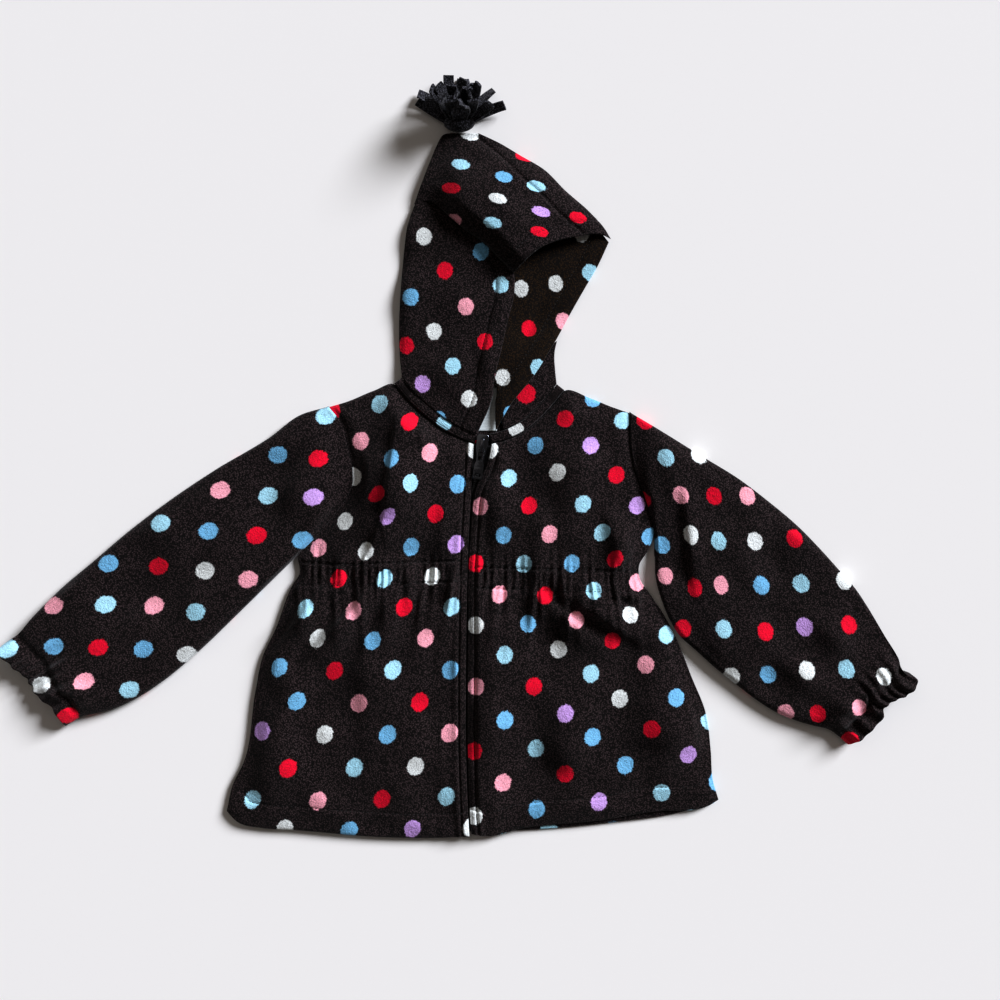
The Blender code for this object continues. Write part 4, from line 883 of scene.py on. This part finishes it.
hood_crown = hood_piece("hood_crown_flap", "hood_crown", CROWN, (130, 90), 95, crown,
                        lambda x, y: SECOND_LAYER + 0 * x, CROWN_DOTS,
                        dict(flat=(0.170, 0.125), held="folded", rests_on=["hood_near_side", "hood_far_side"]),
                        ease=1.15, own=CROWN_OWN)

# ---- The neck bands ----
# A strip of the printed fleece, folded over the neck seam and topstitched along both edges, in one piece on
# each side of the zip. The folded strip is 7.3 mm wide and stands a little above the hood and the fronts.

BAND_INNER, BAND_OUTER = 0.7, 8.0  # how far its two edges lie above the neck seam
BAND_WIDTH = BAND_OUTER - BAND_INNER
BAND_LENGTH = 90.0  # about how long it is, for the spacing of its grid
BAND_TOP = 6.4
BAND_STITCH = 1.6  # from each edge of the band to its topstitching


def band(name, node, line, seed, chart, dye):
    """One half of the binding. Its print is a little smaller than the coat's, and it shows one dot alone."""
    inner, outer = beside(line, BAND_INNER), beside(line, BAND_OUTER)
    u = spaced(22)
    v = spaced(110, *rim_lines(BAND_LENGTH))
    x, y = patch([inner[0], outer[0]], outer, [inner[-1], outer[-1]], inner, u, v)
    edge = np.minimum(u, 1 - u)[None, :] * BAND_WIDTH + 0 * x
    end = np.minimum(v, 1 - v)[:, None] * BAND_LENGTH + 0 * x
    roll = rolled(np.minimum(edge, end), 1.7)
    top = BAND_TOP + 0.12 * waver(x, y, 9, seed) - sewn(edge - BAND_STITCH, 0.4, 0.45) - roll
    grid = 1.25 * plain_chart(x, y, *chart)
    made = layer(name, x, y, top, SECOND_LAYER + roll, grid, repeat=BARE, own={(0, 0): dye})
    dress(made, printed_fleece, node)


band("neck_binding_right", "neck_band_right", NECK_RIGHT, 1.0, (-0.64, 0.974, -0.57), "b")
band("neck_binding_left", "neck_band_left", NECK_LEFT, 2.0, (0.64, -1.95, 0.384), "w")

# ---- The label ----
# A woven polyester satin label, sewn inside the back of the neck, so a corner of it shows in the opening.
# Its face is bare. The weave's fine rows run across it.

LABEL_START = (5.0, 20.0)  # its lower corner on the viewer's left
LABEL_SIZE = (25.0, 34.0)
LABEL_TOP = SECOND_LAYER + 0.4


def two_tone(name, pattern, inputs, dark, light, roughness, relief=None, **settings):
    """A finish in two shades that follow a pattern, as its relief does: a strength and a depth in metres."""
    made, tree, shader, mm = new_finish(name)
    shades = add(tree, pattern, {"Vector": mm, **inputs}, **settings).outputs["Fac"]
    tone = add(tree, "ShaderNodeMix", {"Factor": shades}, data_type="RGBA")
    tone.inputs[6].default_value = coloured(dark)
    tone.inputs[7].default_value = coloured(light)
    tree.links.new(tone.outputs[2], shader.inputs["Base Color"])
    if relief:
        bumps = add(tree, "ShaderNodeBump", {"Height": shades, "Strength": relief[0], "Distance": relief[1]})
        tree.links.new(bumps.outputs["Normal"], shader.inputs["Normal"])
    shader.inputs["Roughness"].default_value = roughness
    return made, tree, shader, shades


# Damask-woven polyester: an off-white with a slight silk gloss and fine weft rows 0.6 mm apart.
satin, _, shader, _ = two_tone("woven polyester satin", "ShaderNodeTexWave",
                               {"Scale": 1 / 0.6 / 6.28, "Distortion": 0.6, "Detail": 1.0}, "C9D3D6", "E6ECEC",
                               0.5, (0.5, 0.0001), bands_direction="Y")
shader.inputs["Sheen Weight"].default_value = 0.1
u, v = spaced(24)[None, :], spaced(32)[:, None]
x, y = LABEL_START[0] + LABEL_SIZE[0] * u + 0 * v, LABEL_START[1] + LABEL_SIZE[1] * v + 0 * u
edge = np.minimum(np.minimum(u, 1 - u) * LABEL_SIZE[0], np.minimum(v, 1 - v) * LABEL_SIZE[1])
top = LABEL_TOP + 0.15 * smooth(edge / 4) * np.sin(x / 4) - 0.12 * sewn(edge - 1.2, 1.0, 0.5)
label = dress(layer("label", x, y, top, SECOND_LAYER), satin, "neck_label")

# ---- The zip ----
# A closed-end nylon coil zip. Its two tapes are a woven herringbone, sewn under the fronts' folded edges,
# and each carries half of the coil, whose loops lock into the other half's along the middle.

TAPE_WIDTH = 12.0
LOOP_PITCH = 1.5
LOOP_SIZE = (1.5, 0.62, 0.9)  # half of one loop's width, length and height
LOOP_REACH = 0.75  # how far its middle lies from the zip's line
LOOP_HEIGHT = 4.05
LOOPS_SHORT = 8  # the coil stops short of the zip's line by this many loops

# Polyester herringbone: matt near-black, with 1.2 mm chevrons that catch a little light.
herringbone = two_tone("woven polyester tape", "ShaderNodeTexWave",
                       {"Scale": 1 / 1.2 / 6.28, "Distortion": 1.2, "Detail": 1.0}, "0C0B0D", "242226", 0.8,
                       (0.6, 0.0002), bands_direction="DIAGONAL")[0]
# Spun nylon, of the coil and the thread: near-black with a soft plastic gloss, its surface slightly uneven.
nylon = two_tone("drawn nylon", "ShaderNodeTexNoise", {"Scale": 2.0, "Detail": 1.0}, "0B0A0B", "2A2728", 0.45)[0]


def loose(name, mesh):
    """A piece made straight from a bmesh, in millimetres."""
    data = finished(mesh, name)
    return settle(name, data, numbers(data.vertices, "co", 3))


zip_length = np.hypot(*np.diff(along(ZIP_LINE, np.linspace(0, 1, 400)), axis=0).T).sum()
for side, sign in (("right", 1), ("left", -1)):
    inner, outer = beside(ZIP_LINE, sign * GAP / 2), beside(ZIP_LINE, sign * TAPE_WIDTH)
    x, y = patch([inner[0], outer[0]], outer, [inner[-1], outer[-1]], inner, spaced(16), spaced(150))
    tape = layer(f"tape_{side}", x, y, TAPE_TOP - 0.15 + 0.1 * np.sin(y / 3), SECOND_LAYER)
    dress(tape, herringbone, f"zip_tape_{side}")
    # Half of the coil: one flattened loop of nylon every 1.5 mm, from the tape's edge across the middle
    # line.
    coil = bmesh.new()
    for k in range(int(zip_length / LOOP_PITCH) - LOOPS_SHORT):
        at = along(ZIP_LINE, np.array([(k + 0.5 + 0.25 * sign) * LOOP_PITCH / zip_length]))[0]
        placed = Matrix.Translation((at[0] - sign * LOOP_REACH, at[1], LOOP_HEIGHT))
        placed = placed @ Matrix.Diagonal((*LOOP_SIZE, 1))
        bmesh.ops.create_icosphere(coil, subdivisions=1, radius=1, matrix=placed)
    dress(loose(f"coil_{side}", coil), nylon)

# ---- The slider and its pull ----
# Zinc die-castings in black nickel plate. The slider straddles the coil at the neck. The pull hangs by its
# crossbar under the slider's bridge and turns there, from lying on the zip to standing up and over.

SLIDER_AT = (18.3, 8.6, 6.5)
SLIDER_HEIGHT = 2.4
SLIDER_TOP = SLIDER_AT[2] + SLIDER_HEIGHT / 2
SLIDER_TURN = math.radians(-8)
BRIDGE_WIDTH = 2.4
PULL_THICKNESS = 1.2
PULL_START = -3.0  # where its crossbar lies along the slider
PULL_LIFT = 1.25  # how far above the slider's top
SLIDER_OUTLINE = [(-4.8, 6.6), (-3.8, 8.6), (3.8, 8.6), (4.8, 6.6), (4.6, 1), (3.4, -7.8), (2.6, -8.8),
                  (-2.6, -8.8), (-3.4, -7.8), (-4.6, 1)]
BRIDGE_OUTLINE = [(-6, -0.2), (-6, 1.6), (-5.2, 2.9), (-3.6, 3.5), (3.6, 3.5), (5.2, 2.9), (6, 1.6),
                  (6, -0.2), (4.8, -0.2), (4.8, 1.4), (4.2, 2.2), (3.2, 2.5), (-3.2, 2.5), (-4.2, 2.2),
                  (-4.8, 1.4), (-4.8, -0.2)]
PULL_OUTLINE = [(-2.7, 0.6), (2.7, 0.6), (2.7, -9.6), (3.7, -12.4), (3.9, -22.6), (3.3, -23.6),
                (-3.3, -23.6), (-3.9, -22.6), (-3.7, -12.4), (-2.7, -9.6)]
PULL_SLOT = [(-1.6, -0.6), (1.6, -0.6), (1.6, -9), (-1.6, -9)]
PULL_WINDOW = [(-2.2, -19), (2.2, -19), (2.2, -21.6), (-2.2, -21.6)]
PULL_BAND = [(-3.2, -14.2), (3.2, -14.2), (3.3, -17.4), (-3.3, -17.4)]


def plate(outlines, thickness, rounding):
    """A die-cast plate from closed outlines, the first its rim and the rest its holes, its edges rounded."""
    curve = bpy.data.curves.new("plate", "CURVE")
    curve.dimensions = "2D"
    curve.fill_mode = "BOTH"
    curve.extrude = thickness / 2 - rounding
    curve.bevel_depth = rounding
    curve.bevel_resolution = 3
    curve.offset = -rounding
    for outline in outlines:
        spline = curve.splines.new("POLY")
        spline.points.add(len(outline) - 1)
        for point, (px, py) in zip(spline.points, outline):
            point.co = (px, py, 0, 1)
        spline.use_cyclic_u = True
    guide = bpy.data.objects.new("plate", curve)
    bpy.context.scene.collection.objects.link(guide)
    graph = bpy.context.evaluated_depsgraph_get()
    data = bpy.data.meshes.new_from_object(guide.evaluated_get(graph))
    bpy.data.objects.remove(guide)
    mesh = bmesh.new()
    mesh.from_mesh(data)
    bmesh.ops.remove_doubles(mesh, verts=mesh.verts[:], dist=1e-4)
    return mesh


def cast(name, parts, at, body, node):
    """Joins plates that were modelled about one origin, turns them with the zip and sets them down."""
    whole = bmesh.new()
    for mesh in parts:
        whole.from_mesh(finished(mesh, name))
    turned = Matrix.Translation(at) @ Matrix.Rotation(SLIDER_TURN, 4, "Z")
    bmesh.ops.transform(whole, matrix=turned, verts=whole.verts[:])
    made = dress(loose(name, whole), metal, node, body)
    made.data.set_sharp_from_angle(angle=math.radians(40))


# Black nickel plate on a tumbled zinc casting: a dark mirror, dulled by fine handling marks.
metal, tree, shader, marks = two_tone("black nickel plate", "ShaderNodeTexNoise",
                                      {"Scale": 1.6, "Detail": 4.0, "Roughness": 0.7}, "35363B", "8A8D95", 0.2,
                                      (0.12, 0.0002))
rough = add(tree, "ShaderNodeMapRange",
            {"Value": marks, "From Min": 0.35, "From Max": 0.7, "To Min": 0.1, "To Max": 0.26})
tree.links.new(rough.outputs["Result"], shader.inputs["Roughness"])
shader.inputs["Metallic"].default_value = 1.0
bridge = plate([BRIDGE_OUTLINE], BRIDGE_WIDTH, 0.3)
on_edge = Matrix(((0, 0, 1), (1, 0, 0), (0, 1, 0)))
bmesh.ops.rotate(bridge, matrix=on_edge, verts=bridge.verts[:])
bmesh.ops.translate(bridge, vec=(0, 0, SLIDER_HEIGHT / 2), verts=bridge.verts[:])
cast("slider", [plate([SLIDER_OUTLINE], SLIDER_HEIGHT, 0.5), bridge], SLIDER_AT, "coat", "zip_slider")
pivot = Matrix.Translation(SLIDER_AT) @ Matrix.Rotation(SLIDER_TURN, 4, "Z") @ Vector((0, PULL_START, 0))
pull_plates = [plate([PULL_OUTLINE, PULL_SLOT, PULL_WINDOW], PULL_THICKNESS, 0.3), plate([PULL_BAND], 1.5, 0.2)]
cast("pull", pull_plates, (pivot.x, pivot.y, SLIDER_TOP + PULL_LIFT), "pull_tab", "zip_pull")

# ---- The topstitching ----
# Rows of lockstitch in dark thread: the hems, both sides of the zip, the waist's casing and the face of the
# hood. Each stitch is 2.5 mm long and lies in the groove that it pulled.

STITCH_STEP = 3.3
STITCH_SIZE = (1.25, 0.24, 0.24)  # half of its length, width and height
STITCH_LIFT = 0.08  # how far its middle lies above the cloth
ABOVE_ALL = 0.1  # a height in metres to look down from
bpy.context.view_layer.update()


def sew(thread, cloth, path):
    """Lays one row of stitches on a piece, along a line seen from above."""
    path = along(path, np.linspace(0, 1, 200))
    runs = np.hypot(*np.diff(path, axis=0).T)
    travelled = np.concatenate([[0], np.cumsum(runs)])
    for middle in np.arange(STITCH_STEP / 2, travelled[-1], STITCH_STEP):
        ends = []
        for offset in (-STITCH_SIZE[0], STITCH_SIZE[0]):
            sx = np.interp(middle + offset, travelled, path[:, 0]) + COAT_SHIFT[0]
            sy = np.interp(middle + offset, travelled, path[:, 1]) + COAT_SHIFT[1]
            hit, place, _, _ = cloth.ray_cast(Vector((sx * MM, sy * MM, ABOVE_ALL)), Vector((0, 0, -1)))
            if hit:
                ends.append(place / MM - Vector(COAT_SHIFT))
        if len(ends) < 2:
            continue
        run = (ends[1] - ends[0]).normalized()
        side = Vector((0, 0, 1)).cross(run).normalized()
        turn = Matrix((run, side, run.cross(side))).transposed().to_4x4()
        at = Matrix.Translation((ends[0] + ends[1]) / 2 + Vector((0, 0, STITCH_LIFT)))
        placed = at @ turn @ Matrix.Diagonal((*STITCH_SIZE, 1))
        bmesh.ops.create_icosphere(thread, subdivisions=1, radius=1, matrix=placed)


def inward(line, distance, start=0.0, end=1.0):
    """Part of an edge, moved to its left hand."""
    part = along(line, np.linspace(start, end, 40))
    return beside([tuple(point) for point in part], distance)


thread = bmesh.new()
sew(thread, front_right, inward(RIGHT_FRONT["low"], HEM_DEPTH, 0.03))
sew(thread, front_left, inward(LEFT_FRONT["low"], HEM_DEPTH, 0.04, 0.97))
sew(thread, front_right, inward(RIGHT_FRONT["centre"], ZIP_STITCH))
sew(thread, front_left, inward(LEFT_FRONT["centre"], -ZIP_STITCH))
for cloth, casing in ((front_right, RIGHT_CASING), (front_left, LEFT_CASING)):
    for offset in (CASING_HALF, -CASING_HALF):
        sew(thread, cloth, [(px, py + offset) for px, py in casing])
sew(thread, hood_right, inward(HOOD_RIGHT["front"], NEAR_HEM, 0.02, 0.9))
sew(thread, hood_left, inward(HOOD_LEFT["edge"], FAR_HEM, 0.12))
sew(thread, hood_crown, inward(CROWN["mouth"], CROWN_HEM))
dress(loose("topstitching", thread), nylon)

# ---- The tassel ----
# Twenty-eight strips cut from plain fleece, 8 mm wide, tied together at the peak of the hood. They spread
# in a fan, tier over tier, with square ends, and the upper ones curl up. A tier's strips leave the root
# between a first and a last direction, at one height and slope, and curl by an angle along their length.

TASSEL_ROOT = Vector((0.6, 259.0, 8.6))
TASSEL_ROOT_SIZE = (12.0, 6.8, 8.0)
STRIP_STEPS = 16
STRIP_WIDTH = 8.2
STRIP_THICKNESS = 2.0
STRIP_CUP = 0.5  # how far the two long edges of a strip curl up
STRIP_EDGE = 0.8  # the rounding of its long edges
Tier = namedtuple("Tier", "strips first last length height slope curl")
TASSEL_TIERS = [
    Tier(7, 30, 152, 37, -5.6, -4, 14),
    Tier(7, 26, 156, 35, -2.4, 8, 44),
    Tier(6, 38, 142, 34, 1.0, 22, 62),
    Tier(5, 50, 130, 31, 4.0, 38, 72),
    Tier(3, 66, 114, 27, 6.2, 54, 72),
]
# Paler than the coat's ground: its light grain tips are a stronger painted highlight on the strips' nap.
plain_fleece = fleece("plain polyester fleece", "19191C", "6E6D76", False)


def tassel_strip(turn, tier, length, curl, bend, twist):
    """The two faces of one strip, which leaves the root at its tier's slope, curls up, bends and twists."""
    share = np.linspace(0, 1, STRIP_STEPS + 1)
    way = turn + bend * share**1.5
    out = np.stack([np.cos(way), np.sin(way), 0 * way], -1)
    across = np.stack([-np.sin(way), np.cos(way), 0 * way], -1)
    slope = np.radians(tier.slope + curl * share + 9 * np.sin(4 * share + 9 * turn) * share)[:, None]
    heading = out * np.cos(slope) + np.array([0, 0, 1]) * np.sin(slope)
    start = np.array(TASSEL_ROOT) + out[0] * 2.0 + np.array([0, 0, tier.height])
    middle = start + np.cumsum(heading * length / STRIP_STEPS, axis=0) - heading[0] * length / STRIP_STEPS
    upright = np.cross(heading, across)
    spin = (twist * share)[:, None]
    side = across * np.cos(spin) + upright * np.sin(spin)
    normal = upright * np.cos(spin) - across * np.sin(spin)
    w = np.array([-1, -0.94, -0.8, -0.4, 0, 0.4, 0.8, 0.94, 1]) * STRIP_WIDTH / 2
    cupped = STRIP_CUP * (w / STRIP_WIDTH * 2) ** 2
    thick = STRIP_THICKNESS / 2 - rolled(STRIP_WIDTH / 2 - np.abs(w), STRIP_EDGE)
    line = middle[:, None] + side[:, None] * w[:, None] + normal[:, None] * cupped[:, None]
    return line + normal[:, None] * thick[:, None], line - normal[:, None] * thick[:, None]


tassel = bmesh.new()
bmesh.ops.create_uvsphere(tassel, u_segments=48, v_segments=28, radius=1)
bmesh.ops.scale(tassel, vec=TASSEL_ROOT_SIZE, verts=tassel.verts[:])
bmesh.ops.translate(tassel, vec=TASSEL_ROOT, verts=tassel.verts[:])
for tier in TASSEL_TIERS:
    for k in range(tier.strips):
        turn = math.radians(tier.first + (tier.last - tier.first) * k / (tier.strips - 1))
        uneven = math.sin(5.1 * k + 2 * tier.height)
        length = tier.length * (0.84 + 0.16 * math.sin(turn)) * (1 + 0.09 * uneven)
        curl = tier.curl * (1 + 0.35 * uneven)
        bend, twist = 0.55 * math.sin(4.3 * k + tier.length), 0.9 * math.sin(3.7 * k + 1)
        data, points, _ = slab("strip", *tassel_strip(turn, tier, length, curl, bend, twist))
        data.vertices.foreach_set("co", points.ravel())
        tassel.from_mesh(data)
tassel = dress(loose("tassel", tassel), plain_fleece, "hood_tassel")
tassel.data.set_sharp_from_angle(angle=math.radians(50))

# ---- The floor, the light and the camera ----
# A plain pale floor, a strong lamp from the right that rakes over the folds, a weak one that fills their
# shadows, and the camera straight above, at the photograph's scale of 0.78 mm a pixel.

CAMERA_AT = (0.0322, -0.0337, 1.088)
FLOOR_DROP = 0.0005  # the floor stays clear of the coat's underside
TONE_GAMMA = 0.8  # the photograph's tone curve is a contrasty one
floor_finish, _, shader, _ = new_finish("matt pale card")
shader.inputs["Base Color"].default_value = coloured("F0EEEB")
shader.inputs["Roughness"].default_value = 0.9
sheet = bmesh.new()
bmesh.ops.create_grid(sheet, x_segments=1, y_segments=1, size=3.0)
data = finished(sheet, "floor")
data.materials.append(floor_finish)
floor = bpy.data.objects.new("floor", data)
bpy.context.scene.collection.objects.link(floor)
floor.location.z = -FLOOR_DROP


def lamp(name, towards, power, colour, spread):
    """Even, soft light from one side, as from a large window: `spread` is how wide it looks, in degrees."""
    light = bpy.data.lights.new(name, "SUN")
    light.energy = power
    light.color = linear(colour)
    light.angle = math.radians(spread)
    made = bpy.data.objects.new(name, light)
    made.location = towards
    made.rotation_euler = Vector(towards).to_track_quat("Z", "Y").to_euler()
    bpy.context.scene.collection.objects.link(made)


lamp("window", (2.4, 1.75, 1.60), 6.1, "F4F7FF", 24)
lamp("room", (-1.2, 1.8, 3.0), 0.25, "FFF6EE", 60)
world = bpy.data.worlds.new("studio")
world.use_nodes = True
world.node_tree.nodes["Background"].inputs["Color"].default_value = coloured("FFF4EC")
world.node_tree.nodes["Background"].inputs["Strength"].default_value = 0.10
bpy.context.scene.world = world
bpy.context.scene.view_settings.view_transform = "Standard"
bpy.context.scene.view_settings.gamma = TONE_GAMMA
lens = bpy.data.cameras.new("overhead")
lens.lens = 50
camera = bpy.data.objects.new("overhead", lens)
camera.location = CAMERA_AT
bpy.context.scene.collection.objects.link(camera)
bpy.context.scene.camera = camera
